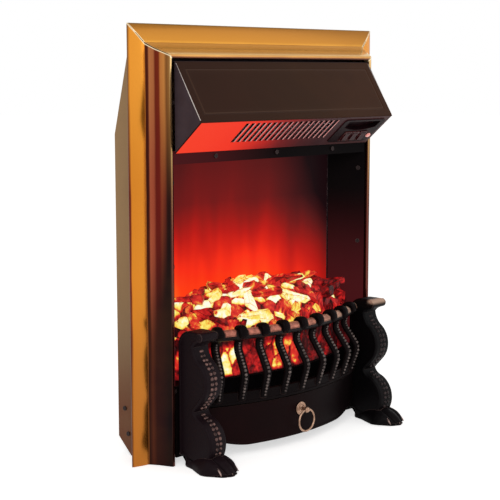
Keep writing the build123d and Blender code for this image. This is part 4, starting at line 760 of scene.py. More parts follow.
def hood_cheek(side):
    """A side cheek: straight lines from the top corner fan down to the underside, a thin sheet
    that bulges by an eighth of a millimetre."""
    foot = np.linspace(0.02, 0.985, 14)[:, None] * (HOOD_HEEL - HOOD_LIP) + HOOD_LIP
    reach = np.linspace(0.02, 0.99, 16)[:, None, None]
    bulge = SIDE_BULGE * np.sin(math.pi * reach[..., 0])
    points = at_x(side * (HOOD_HALF - SIDE_INSET - bulge), HOOD_TOP + (foot - HOOD_TOP) * reach)
    return shell(points if side > 0 else points[:, ::-1], 1.0)


def hood_flange():
    """The level strip behind the canopy and its turned-up edge: the top sheet's section along X."""
    path = rounded([(-38.6, 555.0), (-2.0, 555.0), (-2.0, 589.0)], 1.5, 5)
    loop = np.concatenate([path, (path - sides_of(path) * HOOD_SHEET)[::-1]])
    return solid(at_x(np.linspace(-HOOD_HALF, HOOD_HALF, 24)[:, None], loop))


# %% [markdown]
# The front is a warm brown-black satin paint. Its colour drifts from one end to the other, and
# a paler painted highlight runs along the pressed line, which the mesh carries as a number for each
# vertex.

# %% Canopy paint and pieces
paint = Finish("hood_paint")
drift = paint.ranged(paint.axis("X"), -0.2, 0.2)
coat = paint.ramp(drift, [(0.0, 50, 27, 17), (0.6, 56, 33, 18), (1.0, 62, 36, 21)])
coat = paint.blend(paint.value("highlight_level"), paint.mottled(coat, (44, 26, 16), 10.0, 0.35), (88, 66, 54))
hood_paint = paint.shade(coat, (1300.0, 0.1, 0.4, 0.12), specular=0.05)
hood_side_paint = plain_finish("hood_side_paint", (58, 46, 51), (70, 58, 64), gloss=0.42, specular=0.08,
                               mottle=22, grain=1100, depth=0.14)
# the pale corner beads stand for a painted highlight along the folded edges
edge_highlight = plain_finish("edge_highlight", (214, 204, 198), (186, 172, 164), metallic=0.3, gloss=0.35, mottle=40,
                         grain=900)

# the pale line along the press mark is a painted highlight
pressed_glint = GLINT_AMOUNT * bell(to_edge, GLINT_INSET, GLINT_WIDTH)[:, ::-1].reshape(-1)
piece("hood_front", "carcass", hood_paint, [canopy_front], ["hood_canopy"], 40.0,
      {"highlight_level": np.concatenate([pressed_glint, 0 * pressed_glint])})
piece("hood_sides", "carcass", hood_side_paint, [hood_cheek(-1), hood_cheek(1), hood_flange()],
      ["hood_canopy"], 40.0)
corner_line = np.linspace(0, 1, 30)[1:-1, None] * slope + HOOD_TOP - slope_out * CORNER_BEAD
corner_highlights = [tube(at_x(side * (HOOD_HALF - CORNER_BEAD), corner_line), 0.7, 8) for side in (-1, 1)]
piece("hood_corner_highlights", "carcass", edge_highlight, corner_highlights, ["hood_canopy"])

# %% [markdown]
# ## The outlet and its red glow
# Warm air leaves through eighteen slots in the underside. The fire below lights this sheet: it is
# bright red at the left and falls off into dark maroon. Steel lit by embers is still steel, so
# the paint keeps its own dark colour and the glow is laid on as emission along X. Each slot has
# a raised lip down one side, as a punch leaves, and a pale line of painted highlight glows along
# each lip.

# %% Outlet glow
paint = Finish("grille_paint")
reach = paint.math("ADD", paint.axis("X"), paint.wobble(paint.noise(14.0, 2.0), 0.05))
glow = paint.ramp(paint.ranged(reach, -0.2, 0.2), [
    (0.0, 255, 62, 38), (0.17, 250, 54, 34), (0.34, 186, 34, 28), (0.48, 112, 22, 24), (0.64, 64, 16, 20),
    (0.80, 42, 14, 18), (1.0, 52, 26, 26)])
upwards = paint.add("SeparateXYZ", {0: paint.normal()}).outputs["Z"]
glow = paint.blend(paint.ranged(upwards, -0.05, -0.5), (24, 5, 8), glow)
coat = paint.mottled((34, 18, 18), (24, 14, 15), 30.0, 0.6)
dress("outlet_grille", paint.shade(coat, (1200.0, 0.1, 0.45, 0.12), specular=0.1, glow=glow, strength=0.9))

SLOTS, SLOT_PITCH, SLOTS_START = 18, 10.9, -113.0
LIP_OFFSET, LIP_SINK, LIP_RADIUS = 3.3, 0.15, 0.62
LIP_ENDS = np.array([[6.6], [47.4]])
under_way = unit(HOOD_HEEL - HOOD_LIP)
under_in = np.array([-under_way[1], under_way[0]])
lip_line = spaced(HOOD_LIP + LIP_ENDS * under_way - LIP_SINK * under_in, 5.0)
lip_places = SLOTS_START + (np.arange(SLOTS) + 0.5) * SLOT_PITCH + LIP_OFFSET
lips = [tube(at_x(x, lip_line), LIP_RADIUS, 8) for x in lip_places]
# a pale painted highlight, made to glow, along each slot's lip
metal = Finish("louvre_lip")
coat = metal.mottled((206, 150, 146), (176, 112, 110), 60.0, 0.8)
lip_glint = metal.shade(coat, (1200.0, 0.1, 0.4, 0.1), glow=coat, strength=0.45)
piece("louvre_lips", "carcass", lip_glint, lips)

# %% [markdown]
# ## The flame screen
# A smoked panel hides the mask, and moving light behind it draws flames. Lit flames are light,
# not paint, so the panel glows: a ramp from deep maroon to orange-red follows a height field that
# fades upwards and to the right. Slow noise, stretched upwards, licks at it and bends its edges.

# %% Flame screen
screen = Finish("screen_plastic")
place = screen.add("TexCoord").outputs["Object"]
place = screen.add("Mapping", {"Vector": place, "Scale": (16.0, 16.0, 4.0)}).outputs["Vector"]
lick = screen.add("TexNoise", {"Vector": place, "Scale": 1.0, "Detail": 2.0}).outputs["Fac"]
height = screen.axis("Z")
warped = screen.math("ADD", screen.axis("X"), screen.wobble(lick, 0.07))
falloff = screen.ramp(screen.ranged(warped, -0.18, 0.18, curve="LINEAR"), [
    (0.0, 0.08), (0.10, 0.03), (0.20, 0.0), (0.40, 0.0), (0.60, 0.04), (0.70, 0.13), (0.79, 0.22),
    (0.88, 0.34), (0.95, 0.45), (1.0, 0.49)])
climb = screen.ramp(screen.ranged(height, 0.20, 0.45, curve="LINEAR"), [
    (0.0, 0.98), (0.14, 0.93), (0.28, 0.80), (0.44, 0.60), (0.62, 0.37), (0.80, 0.29), (1.0, 0.23)])
licking = screen.ranged(lick, 0.3, 0.7, -0.14, 0.11, curve="LINEAR")
licking = screen.math("MULTIPLY", licking, screen.ranged(height, 0.40, 0.29, 0.15, 1.0))
flame = screen.ramp(screen.math("ADD", screen.math("SUBTRACT", climb, falloff), licking), [
    (0.0, 22, 8, 11), (0.12, 54, 15, 17), (0.23, 84, 21, 21), (0.34, 114, 22, 21), (0.45, 148, 23, 19),
    (0.56, 184, 24, 18), (0.66, 216, 32, 18), (0.76, 248, 44, 19), (0.88, 255, 62, 22), (1.0, 255, 92, 30)])
smoke = screen.mottled((10, 3, 4), (6, 2, 3), 12.0, 0.6)
dress("flame_screen", screen.shade(smoke, (400.0, 0.03, 0.3, 0.08), specular=0.02, glow=flame))
print("screen glow ready")

# %% [markdown]
# ## The bed of coals
# One resin moulding, lit from inside. Its skin is a grid that climbs the bowed front and runs back
# to the screen. Seeds scattered over the grid split it into cells, like chips split from a log.
# Each point belongs to its nearest seed; each cell has its own height and tilt, and sinks into a
# crevice, painted darker as shade, where the nearest and the second nearest seed are equally far.

# %% The fret's arc and the bed's form
LEG_INSIDE, FRET_BOW, FRET_REACH = 165.0, 40.0, 85.0
ARC_RADIUS = (LEG_INSIDE**2 + FRET_BOW**2) / (2 * FRET_BOW)
ARC_CENTRE = ARC_RADIUS - FRET_REACH
BED_RADIUS = ARC_RADIUS - 18.0
BED_FLOOR, BED_SHOULDER, BED_REAR, BED_HIGHEST = 113.0, 172.0, 11.5, 242.0
FRONT_HALF, REAR_HALF = 184.0, 168.9
CREVICE_DEPTH, ROUGH_HEIGHT, ROUGH_SIZE = 6.0, 0.8, 6.0
CHEEK_HALF, CHEEK_BACK, CHEEK_SPLAY, CHEEK_RUN, CHEEK_GAP = 170.0, 14.0, 30.0, 49.0, 2.6


def on_arc(along, outwards, height):
    """Places by length along the fret's arc, distance in front of it, and height. The turn is the
    length over the arc's radius, and a place is the radius there times the turn's sine and cosine."""
    turn = along / ARC_RADIUS
    radius = ARC_RADIUS + outwards
    return surface(radius * np.sin(turn), ARC_CENTRE - radius * np.cos(turn), height)


def bed_front(x):
    """The depth of the bed's bowed front: a circle, whose y is its middle less the root of the
    radius squared less x squared."""
    return ARC_CENTRE - np.sqrt(BED_RADIUS**2 - x**2)


def bed_half_width(y):
    """Half the room between the cheeks at a depth, less a small gap: the cheeks spread forwards by
    their splay over their run."""
    return CHEEK_HALF + (CHEEK_BACK - y) * CHEEK_SPLAY / CHEEK_RUN - CHEEK_GAP


def bed_top(x, y):
    """Height of the bed's plain form: a climb from the front arc to the screen, up to a crest that
    falls off to both ends."""
    share = share_of(y, bed_front(x), BED_REAR - bed_front(x))
    climb = np.interp(share, [0, 0.22, 0.48, 1], [0.0, 0.56, 0.96, 1.0])
    crest = np.interp(x, [-200, -177, -120, -42, 34, 90, 118, 149, 200],
                      [210, 216, 226, 236, 234, 224, 216, 212, 206])
    return BED_SHOULDER + (crest - BED_SHOULDER) * climb


def cells(x, q, chance):
    """Split the grid (x, q) into stretched cells. Returns the cell number of each point, its
    nearness to a crevice from 0 to 1, its two offsets from its own seed, and the count of cells."""
    seeds = np.array([(-186 + 31 * (column + 0.5 * (row % 2)) + chance.uniform(-9, 9),
                       at + chance.uniform(-5, 5))
                      for row, at in enumerate(np.arange(-52.0, 122.0, 14.5)) for column in range(13)])
    lean = np.where(seeds[:, 1] < 6, chance.uniform(0.9, 2.2, len(seeds)),
                    chance.uniform(-0.75, 0.75, len(seeds)))
    dx, dq = x[..., None] - seeds[:, 0], q[..., None] - seeds[:, 1]
    long_way = dx * np.cos(lean) + dq * np.sin(lean)
    short_way = -dx * np.sin(lean) + dq * np.cos(lean)
    far = np.hypot(long_way / 21.0, short_way / 10.5)
    order = np.argsort(far, axis=-1)[..., :2]
    nearest = np.take_along_axis(far, order, axis=-1)
    crevice = np.exp(-(nearest[..., 1] - nearest[..., 0]) / 0.16)
    offsets = [np.take_along_axis(way, order[..., :1], -1)[..., 0] for way in (long_way, short_way)]
    return order[..., 0], crevice, *offsets, len(seeds)


def chip_heat(x, chance):
    """The heat of a chip at x: white hot or crimson by chance, and nearly out at the right."""
    hot_chance = np.interp(x, [-200, -165, -120, 40, 75, 105, 200], [0.15, 0.40, 0.50, 0.46, 0.30, 0.08, 0.0])
    dim = np.interp(x, [-200, -150, 60, 110, 200], [0.75, 1.0, 1.0, 0.62, 0.45])
    if chance.uniform() < hot_chance:
        return chance.uniform(0.70, 0.98)
    return dim * chance.uniform(0.30, 0.56)


print("arc radius", round(ARC_RADIUS, 1), "bed radius", round(BED_RADIUS, 1))

# %% [markdown]
# The skin is one sheet. Its first rows climb the bowed front, and the others run back to the
# screen, so a point is known by its x and by how far past the front's upper edge it lies. Those
# two numbers are what the cells are split by.

# %% The bed's skin
chance = np.random.default_rng(77)
u = np.linspace(-1, 1, 270)
v = np.linspace(0, 1, 64)[:, None]
front_x, rear_x = u * FRONT_HALF, u * REAR_HALF
front_y = bed_front(front_x)
top_x = front_x + (rear_x - front_x) * v
top_y = front_y + (BED_REAR - front_y) * v
top_z = bed_top(top_x, top_y)
low_z = np.linspace(BED_FLOOR, BED_SHOULDER, 24)[:-1, None] + 0 * front_x
grid_x = np.concatenate([front_x + 0 * low_z, top_x])
grid_y = np.concatenate([front_y + 0 * low_z, top_y])
grid_z = np.concatenate([low_z, top_z])
over = np.concatenate([low_z - BED_SHOULDER, np.hypot(top_y - front_y, top_z - BED_SHOULDER)])
print("bed grid", grid_x.shape)

# %% [markdown]
# Each cell is lifted and tilted by chance. On the top the lift goes upwards. On the bowed front it
# goes along the arc's radius, and the front as a whole is drawn in a little, behind the ribs. Both
# die away at the rim, so the moulding stays whole.

# %% The bed's cells
own, crevice, long_way, short_way, count = cells(grid_x, over, chance)
rise = chance.uniform(-3.5, 4.5, count)[own]
tilt_long = chance.uniform(-0.16, 0.16, count)[own]
tilt_short = chance.uniform(-0.42, 0.42, count)[own]
lift = rise + tilt_long * long_way + tilt_short * short_way - CREVICE_DEPTH * crevice
lift += ROUGH_HEIGHT * value_noise(grid_x / ROUGH_SIZE, grid_y / ROUGH_SIZE, grid_z / ROUGH_SIZE, 3)
at_rim = share_of(FRONT_HALF * (1 - np.abs(u)), 0.0, 6.0)
on_top = share_of(over, -4.0, 10.0)
away = unit(np.stack([grid_x, grid_y - ARC_CENTRE], axis=-1))
push = (np.clip(lift, -8.0, 8.0) - 7.0) * 0.42 * (1 - on_top) * at_rim * share_of(grid_z, BED_FLOOR, 6.0)
bed_skin = surface(grid_x + away[..., 0] * push, np.minimum(grid_y + away[..., 1] * push, BED_REAR),
                   np.minimum(grid_z + lift * on_top * (0.3 + 0.7 * at_rim), BED_HIGHEST))

cell_sizes = np.maximum(np.bincount(own.ravel(), minlength=count), 1)
cell_middles = np.bincount(own.ravel(), grid_x.ravel(), count) / cell_sizes
cell_heat = np.array([chip_heat(x, chance) for x in cell_middles])[own]
# Seen through the ribs, the front glows in a band: painted shadow darkens it under the rail and at its foot,
# and its glow is greatest left of middle and fades towards the right.
front_glow_and_shade = (np.interp(grid_x, [-200, -150, -118, -60, 0, 50, 100, 165],
                          [0.4, 0.70, 0.98, 0.84, 0.55, 0.40, 0.22, 0.08])
                * np.interp(grid_z, [113, 118, 150, 158, 172], [0.35, 1.0, 1.0, 0.30, 0.22]))
patches = np.where(chance.uniform(0, 1, count) < 0.42, 1.0, 0.36)[own]
bed_heat = np.where(over < -2.0, 0.94 * front_glow_and_shade * patches, cell_heat)
# painted shade: the glow is dimmed in the crevices
bed_heat = (bed_heat * (1 - 0.75 * crevice)).reshape(-1)
print("bed skin", bed_skin.shape[:2], "cells", count)

# %% [markdown]
# On the skin lie loose chips, like wood split along its grain. Each is a short, ragged bar, turned
# by chance and set on the bed's plain form, in five rows. Where a chip would reach into a cheek or
# the screen, or past the bowed front, its points are held back.


# %% Split chips
def chip(length, width, height, chance):
    """A split chip about its own middle: a ragged polygon drawn out along X, with both ends cut on
    a slant and the sides left flat, as wood splits along its grain."""
    corners = int(chance.integers(5, 7))
    angle = (np.arange(corners) + chance.uniform(-0.3, 0.3, corners)) * 2 * math.pi / corners
    out = chance.uniform(0.75, 1.1, corners)
    t = np.linspace(-0.5, 0.5, 6)[:, None]
    slant_y, slant_z = chance.uniform(-0.9, 0.9, 2)
    y = 0.5 * width * out * np.cos(angle) * (1 - 0.5 * chance.uniform(0, 1) * (t + 0.5))
    z = 0.5 * height * out * np.sin(angle) * (1 - 0.3 * chance.uniform(0, 1) * (0.5 - t))
    jag = chance.uniform(-0.05, 0.05, y.shape) * width
    return surface(t * length + 2 * t * (slant_y * y + slant_z * z) + 2.2 * np.abs(t) * jag,
                   y + jag, z + 0.6 * jag)


def turned(points, yaw, pitch, roll):
    """Turn points about X, then Y, then Z, by the product of three matrices of cosines and sines."""
    cx, sx, cy, sy, cz, sz = (f(a) for a in (roll, pitch, yaw) for f in (math.cos, math.sin))
    about_x = np.array([[1, 0, 0], [0, cx, -sx], [0, sx, cx]])
    about_y = np.array([[cy, 0, sy], [0, 1, 0], [-sy, 0, cy]])
    about_z = np.array([[cz, -sz, 0], [sz, cz, 0], [0, 0, 1]])
    return points @ (about_z @ about_y @ about_x).T


def kept_in(points):
    """Keep points between the cheeks, in front of the screen, behind the bed's front and below
    its highest place."""
    x, y, z = np.moveaxis(points, -1, 0)
    y = np.minimum(y, BED_REAR - 0.1)
    half = bed_half_width(y) - 0.4
    x = np.clip(x, -half, half)
    return surface(x, np.maximum(y, bed_front(x)), np.minimum(z, BED_HIGHEST + 0.4))


CHIP_ROWS, CHIP_COLUMNS = 5, 11
chips, chips_heat = [], []
for row in range(CHIP_ROWS):
    for column in range(CHIP_COLUMNS):
        share = (column + 0.5 + chance.uniform(-0.4, 0.4)) / CHIP_COLUMNS * 2 - 1
        depth = np.clip((row + 0.5 + chance.uniform(-0.4, 0.4)) / CHIP_ROWS, 0.05, 0.92)
        x = share * (FRONT_HALF + (REAR_HALF - FRONT_HALF) * depth) * 0.97
        y = bed_front(x) + (BED_REAR - bed_front(x)) * depth
        length, width, height = chance.uniform(30, 62), chance.uniform(15, 25), chance.uniform(11, 18)
        yaw = chance.uniform(-0.8, 0.8) + (1.3 if chance.uniform() < 0.25 else 0.0)
        shape = turned(chip(length, width, height, chance), yaw, chance.uniform(-0.6, 0.6),
                       chance.uniform(-0.9, 0.9))
        middle = np.array([x, y, float(bed_top(x, y)) + chance.uniform(-1.0, 3.5)])
        heat = chip_heat(x, chance)
        under = np.clip(-shape[..., 2] / height, -0.5, 0.5)
        chips.append(solid(kept_in(shape + middle)))
        chips_heat.append((heat + 0.16 * under * (heat > 0.2)).reshape(-1))
print("chips", len(chips))

# %% [markdown]
# The resin is lit from inside, so each chip glows by its own heat: yellow-white where the light
# shines through, crimson where the coat is thick. Every point carries that heat by name. Noise in
# two sizes breaks it up, the edges of each chip stay dark, faces turned up and to the front left
# glow a little more as painted light, and a ramp turns heat into colour.

# %% Ember glow
resin = Finish("fuel_resin_glow")
heat = resin.value("glow_level")
for noise, strength in ((resin.noise(58.0, 3.0, 0.6), 0.95), (resin.noise(230.0, 2.0, 0.7), 0.36)):
    heat = resin.math("ADD", heat, resin.wobble(noise, strength))
heat = resin.math("SUBTRACT", heat, resin.math("MULTIPLY", resin.edges(0.0022, 0.9), 0.55))
# painted light: faces turned up and to the front left glow a little more
painted_facing_light = resin.dot(resin.normal(), (-0.6, -0.2, 0.75))
heat = resin.math("ADD", heat, resin.math("MULTIPLY", painted_facing_light, 0.09))
ember = resin.ramp(heat, [
    (0.0, 24, 4, 6), (0.14, 62, 8, 10), (0.28, 132, 16, 18), (0.42, 196, 30, 30), (0.54, 222, 52, 38),
    (0.62, 236, 120, 52), (0.69, 244, 200, 72), (0.80, 252, 232, 108), (0.93, 255, 247, 176),
    (1.0, 255, 253, 230)])
coat = resin.mottled((50, 14, 12), (20, 8, 8), 60.0, 0.9)
bed_glow = resin.shade(coat, (240.0, 0.5, 0.4, 0.2), specular=0.08, glow=ember)
piece("fuel_mound", "fuel", bed_glow, [shell(bed_skin, 2.2)], ["fuel_bed"], 50.0,
      {"glow_level": np.concatenate([bed_heat, bed_heat])})
piece("fuel_chips", "fuel", bed_glow, chips, ["fuel_bed"], 24.0,
      {"glow_level": np.concatenate(chips_heat)})

# %% [markdown]
# ## The cast fret
# Rail, ribs and bar are one iron casting on a bowed arc. Each rib hooks over the rail, dives in
# behind it and swells out again like a baluster. Its shape is a path in side view, and a
# rounded strip is carried along that path, then set round the arc. A row of cast beads runs
# down its middle, made as half-sunk balls, because separate balls stay crisp and cost little.

# %% Rail and bar
RAIL_IN, RAIL_HEIGHT, RAIL_RADIUS, RAIL_ROWS = -1.0, 176.0, 8.0, 260
RIB_PITCH, RIB_COUNT = 36.0, 9
HALF_SPAN = 171.4


def swept_on_arc(profile, half, rows):
    """Carry a closed profile in (outwards, height) along the arc from -half to half."""
    return on_arc(np.linspace(-half, half, rows)[:, None], profile[:, 0], profile[:, 1])


angle = full_turn(28)
rail_profile = np.stack([RAIL_IN + RAIL_RADIUS * np.cos(angle), RAIL_HEIGHT + RAIL_RADIUS * np.sin(angle)],
                        axis=-1)
rail_skin = solid(swept_on_arc(rail_profile, HALF_SPAN - 0.4, RAIL_ROWS))
rail_values = {"along": np.repeat(np.linspace(-HALF_SPAN, HALF_SPAN, RAIL_ROWS), len(angle)),
               "around": np.tile(angle, RAIL_ROWS)}
bar_profile = rounded([(0, 77), (4.5, 77), (4.5, 80.5), (3.4, 81.5), (3.4, 89.5), (4.5, 90.5), (4.5, 94),
                       (-4.5, 94), (-4.5, 77), (0, 77)], 0.9, 4)[:-1]
bar_skin = solid(swept_on_arc(bar_profile, HALF_SPAN - 3.0, 90))
print("rail points", len(rail_skin[0]), "bar points", len(bar_skin[0]))

# %% [markdown]
# The hook over the rail is bent tight, and the swells below it are long and soft. So the path is
# rounded twice: with small arcs until partway round the hook's last bend, and with large ones
# from there on.

# %% Ribs
RIB_CORNERS = [(-7.0, 174.0), (-7.5, 185.5), (6.0, 186.5), (9.5, 176.0), (-13.5, 161.0), (14.0, 121.0),
               (1.0, 80.5)]
HOOK_POINTS = 18
RIB_HALF_WIDTH, RIB_HALF_DEPTH, RIB_POWER = 6.5, 3.5, 2.6
BEAD_PITCH, BEAD_OUT = 5.0, 3.3
hook = rounded(RIB_CORNERS, 5.2, 7)[:HOOK_POINTS]
swells = rounded([hook[-1], *RIB_CORNERS[4:]], 16.0, 14)
rib_path = spaced(np.concatenate([hook[:-1], swells]), 1.8)
rib_side = sides_of(rib_path)
rib_length = travelled(rib_path)


def rib_skin(along):
    """One rib: at each step of its path a flattened ring, 13 wide and 7 thick, smaller at both ends.
    The ring is |x|^2.6 + |y|^2.6 = 1, so that it is between an oval and a rectangle."""
    a = full_turn(22)
    power = (np.abs(np.cos(a)) ** RIB_POWER + np.abs(np.sin(a)) ** RIB_POWER) ** (-1 / RIB_POWER)
    taper = np.clip(np.minimum(rib_length, rib_length[-1] - rib_length) / 2.5, 0.35, 1.0)[:, None] ** 0.6
    wide = RIB_HALF_WIDTH * power * np.cos(a) * taper
    thick = RIB_HALF_DEPTH * power * np.sin(a) * taper
    radius = ARC_RADIUS + rib_path[:, :1] + rib_side[:, :1] * thick
    turn = along / ARC_RADIUS
    return surface(wide * math.cos(turn) + radius * math.sin(turn),
                   ARC_CENTRE + wide * math.sin(turn) - radius * math.cos(turn),
                   rib_path[:, 1:] + rib_side[:, 1:] * thick)


rib_places = (np.arange(RIB_COUNT) - (RIB_COUNT - 1) / 2) * RIB_PITCH
rib_skins = [solid(rib_skin(along)) for along in rib_places]
bead_at = np.arange(rib_length[-1] - 92.0, rib_length[-1] - 3.0, BEAD_PITCH)
bead_out, bead_up = (np.interp(bead_at, rib_length, values) for values in (rib_path + rib_side * BEAD_OUT).T)
bead_size = 2.0 + 0.7 * np.sin(np.linspace(0, math.pi, len(bead_at)))
rib_beads = [bead for along in rib_places for bead in balls(on_arc(along, bead_out, bead_up), bead_size)]
print("rib path", len(rib_path), "beads", len(rib_beads))

# %% [markdown]
# The iron is black and satin, dry in its hollows and rubbed where hands and cloths reach. The
# beads and the rail between the ribs carry painted highlights: their colour runs from black to a
# pale metal. On the rail the painted highlights sit between the ribs, on its top front, found from
# each point's length along the arc.

# %% Iron finishes
fret_iron = plain_finish("fret_iron", (12, 7, 8), (19, 12, 13), gloss=0.46, specular=0.03, mottle=24,
                         grain=420, depth=0.35, wear=0.55, bare=(76, 58, 56), width=0.0016)
# the beads' pale colour is a painted highlight
bead_iron = plain_finish("bead_iron", (104, 92, 88), (34, 26, 26), metallic=0.5, gloss=0.3, specular=0.2,
                         mottle=150, amount=0.9, grain=900, depth=0.2)

iron = Finish("rail_iron")
steps = iron.math("DIVIDE", iron.value("along"), RIB_PITCH)
steps = iron.math("ADD", steps, iron.wobble(iron.noise(130.0, 3.0), 0.22))
between = iron.ranged(iron.math("PINGPONG", steps, 0.5), 0.22, 0.30)
from_top_front = iron.math("ABSOLUTE", iron.math("SUBTRACT", iron.value("around"), 0.85))
patch = iron.math("MULTIPLY", between, iron.ranged(from_top_front, 0.95, 0.6))
drift = iron.ranged(iron.axis("X"), -0.12, 0.14)
# painted highlights on the rail's top front, between the ribs
pale = iron.ramp(drift, [(0.0, 210, 132, 112), (0.6, 212, 140, 116), (1.0, 204, 172, 148)])
painted_highlight_colour = iron.mottled(pale, (120, 74, 64), 120.0, 0.7)
coat = iron.blend(patch, iron.mottled((18, 11, 12), (28, 19, 19), 30.0, 0.7), painted_highlight_colour)
rail_iron = iron.shade(coat, (420.0, 0.25, 0.4, 0.15), iron.math("MULTIPLY", patch, 0.35), 0.08)

piece("fret_rail", "fret", rail_iron, [rail_skin], ["fret_casting"], 50.0, rail_values)
piece("fret_ribs", "fret", fret_iron, rib_skins + [bar_skin], ["fret_casting"], 50.0)
piece("fret_rib_beads", "fret", bead_iron, rib_beads, ["fret_casting"], 60.0)

# %% [markdown]
# ## Legs on paw feet
# Each end of the fret is a flat cast leg with a swelling front, like a chair's cabriole leg in
# profile, and a scroll at its top. The side outline is built from arcs; stacking that outline
# across the leg's width, pulled in a little at both faces, rounds every edge at once. A shallow
# border follows the outline, and two rows of beads run down the swellings.

# %% Leg outline
LEG_WIDTH, LEG_ROUND, LEG_BORDER = 31.0, 3.6, 0.7
LEG_MIDDLE = LEG_INSIDE + LEG_WIDTH / 2
SCROLL_REACH, SCROLL_HEIGHT = 79.0, 185.0
neck_to_waist = np.concatenate([arc_through((66.0, 170.0), (69.0, 160.0), (76.0, 151.0), 9),
                                arc_through((76.0, 151.0), (92.6, 121.0), (84.0, 98.0), 26)[1:],
                                [(75.5, 89.0), (67.0, 80.0)]])
waist_to_ankle = np.concatenate([arc_through((67.0, 80.0), (70.5, 74.5), (77.0, 70.5), 8),
                                 arc_through((77.0, 70.5), (101.5, 41.0), (97.0, 19.0), 26)[1:]])
back_line = [(96.6, 0.4), (48.2, 0.4), (48.2, 13.5), (36.0, 13.5), (35.6, 169.0)]
dome = arc_through((35.6, 169.5), (42.0, 184.9), (57.4, 191.2), 12)
scroll_arc = arc_through((79.0, 191.4), (85.4, 184.4), (78.6, 178.7), 12)
outline = np.concatenate([neck_to_waist, waist_to_ankle[1:], back_line, dome[1:], [(70.0, 191.4)], scroll_arc,
                          [(70.5, 174.5)], neck_to_waist[:1]])
outline = spaced(outline, 2.2)[:-1]


def closed_normals(loop):
    """Unit normals of a closed loop, pointing out of it: the way from the point before to the point
    after, (x, y), turned to (y, -x). The sign of the loop's area tells which way is out."""
    travel = np.roll(loop, -1, axis=0) - np.roll(loop, 1, axis=0)
    area = 0.5 * np.sum(loop[:, 0] * np.roll(loop[:, 1], -1) - np.roll(loop[:, 0], -1) * loop[:, 1])
    return unit(np.stack([travel[:, 1], -travel[:, 0]], axis=-1)) * (1 if area > 0 else -1)


flat_half = LEG_WIDTH / 2 - LEG_ROUND
layers = [(flat_half + LEG_ROUND * math.sin(a), LEG_ROUND * (1 - math.cos(a)))
          for a in np.linspace(0, math.pi / 2, 6)]
layers += [(LEG_WIDTH / 2, 4.6), (LEG_WIDTH / 2 - LEG_BORDER, 5.4), (LEG_WIDTH / 2 - LEG_BORDER, 6.0)]
layers = np.array([(-place, inset) for place, inset in layers[::-1]] + [(0.0, 0.0)] + layers)
print("outline points", len(outline), "layers", len(layers))


def leg_skin(side):
    """The leg's outline stacked across its width, each layer moved inwards by its inset."""
    place, inset = layers.T[..., None]
    loops = outline - closed_normals(outline) * inset[..., None]
    return solid(surface(side * (LEG_MIDDLE + place), -loops[..., 0], loops[..., 1]))


def bead_rows(side):
    """Two rows of beads down the front of the swellings, half sunk in the iron. The rows close up
    towards the neck, where the swelling begins."""
    parts = []
    for run, low, high in ((neck_to_waist, 84.0, 164.0), (waist_to_ankle, 24.0, 76.0)):
        reach, height = spaced(run, 7.0).T
        inside = (height > low) & (height < high)
        reach, height = reach[inside], height[inside]
        size = np.interp(height, [low, (low + high) / 2, high], [2.6, 3.1, 2.4])
        spread = np.interp(height, [low, high - 22, high], [3.4, 3.4, 1.4])
        for way in (-1, 1):
            parts += balls(surface(side * LEG_MIDDLE + way * spread, -(reach - 0.9), height), size)
    return parts


# %% [markdown]
# A paw is a low cushion that widens towards three toes. Its skin is a row of sections from the
# heel to the tip. Each section is an arch over a flat sole, and the arch dips between the toes by
# a cosine that grows towards the tip. Three short claws grow out of the toes.

# %% Paws
HEEL, TOE_TIP = 50.0, 129.4
SIDE_TOE_PULL, TOE_POWER = 19.0, 2.4


def paw_skin(side):
    """Sections from heel to toe: width and height are ramps, and toes are a cosine across. The
    side toes end before the middle one, by a power of their distance from it."""
    reach = np.concatenate([np.linspace(HEEL, 104, 18), np.linspace(106, TOE_TIP, 20)])[:, None]
    share = (reach - HEEL) / (TOE_TIP - HEEL)
    width = np.interp(reach, [HEEL, 66, 84, 104, 118, TOE_TIP], [29, 35, 50, 57.4, 55.0, 44.0]) / 2
    height = np.interp(reach, [HEEL, 76, 97, 112, 122, TOE_TIP], [17, 21, 23, 18.5, 12.5, 5.0])
    v = np.linspace(-1, 1, 49)
    between_toes = 1 - np.abs(np.cos(1.5 * math.pi * v)) ** 0.55
    arch = np.clip(1 - np.abs(v) ** 2.8, 0, 1) ** 0.55
    top = height * arch * (1 - 0.5 * share_of(share, 0.5, 0.5) ** 0.8 * between_toes)
    pull = share_of(share, 0.45, 0.55) * (3.0 * between_toes + SIDE_TOE_PULL * np.abs(v) ** TOE_POWER)
    upper = surface(width * v, -(reach - pull), np.maximum(top, 0.25))
    sole = upper[:, -2:0:-1] * (0.985, 1.0, 0.0) + (0.0, 0.0, 0.05)
    ring = np.concatenate([upper, sole], axis=1)
    ring[..., 0] = side * (LEG_MIDDLE + ring[..., 0])
    return solid(ring)


def claws(side):
    """Three curved cones at the toe tips: each runs forwards evenly, sinks by a line and a square,
    and narrows to a quarter of its radius."""
    t = np.linspace(0, 1, 8)
    height = 11.5 - 4.4 * t - 4.4 * t * t
    parts = []
    for v in (-0.6, 0.0, 0.6):
        reach = 118.5 - (SIDE_TOE_PULL * abs(v) ** TOE_POWER + 1.0) + 11.0 * t
        line = surface(side * (LEG_MIDDLE + v * (24.0 + 3.0 * t)), -reach, height)
        parts.append(tube(line, 2.6 * (1 - 0.75 * t)))
    return parts


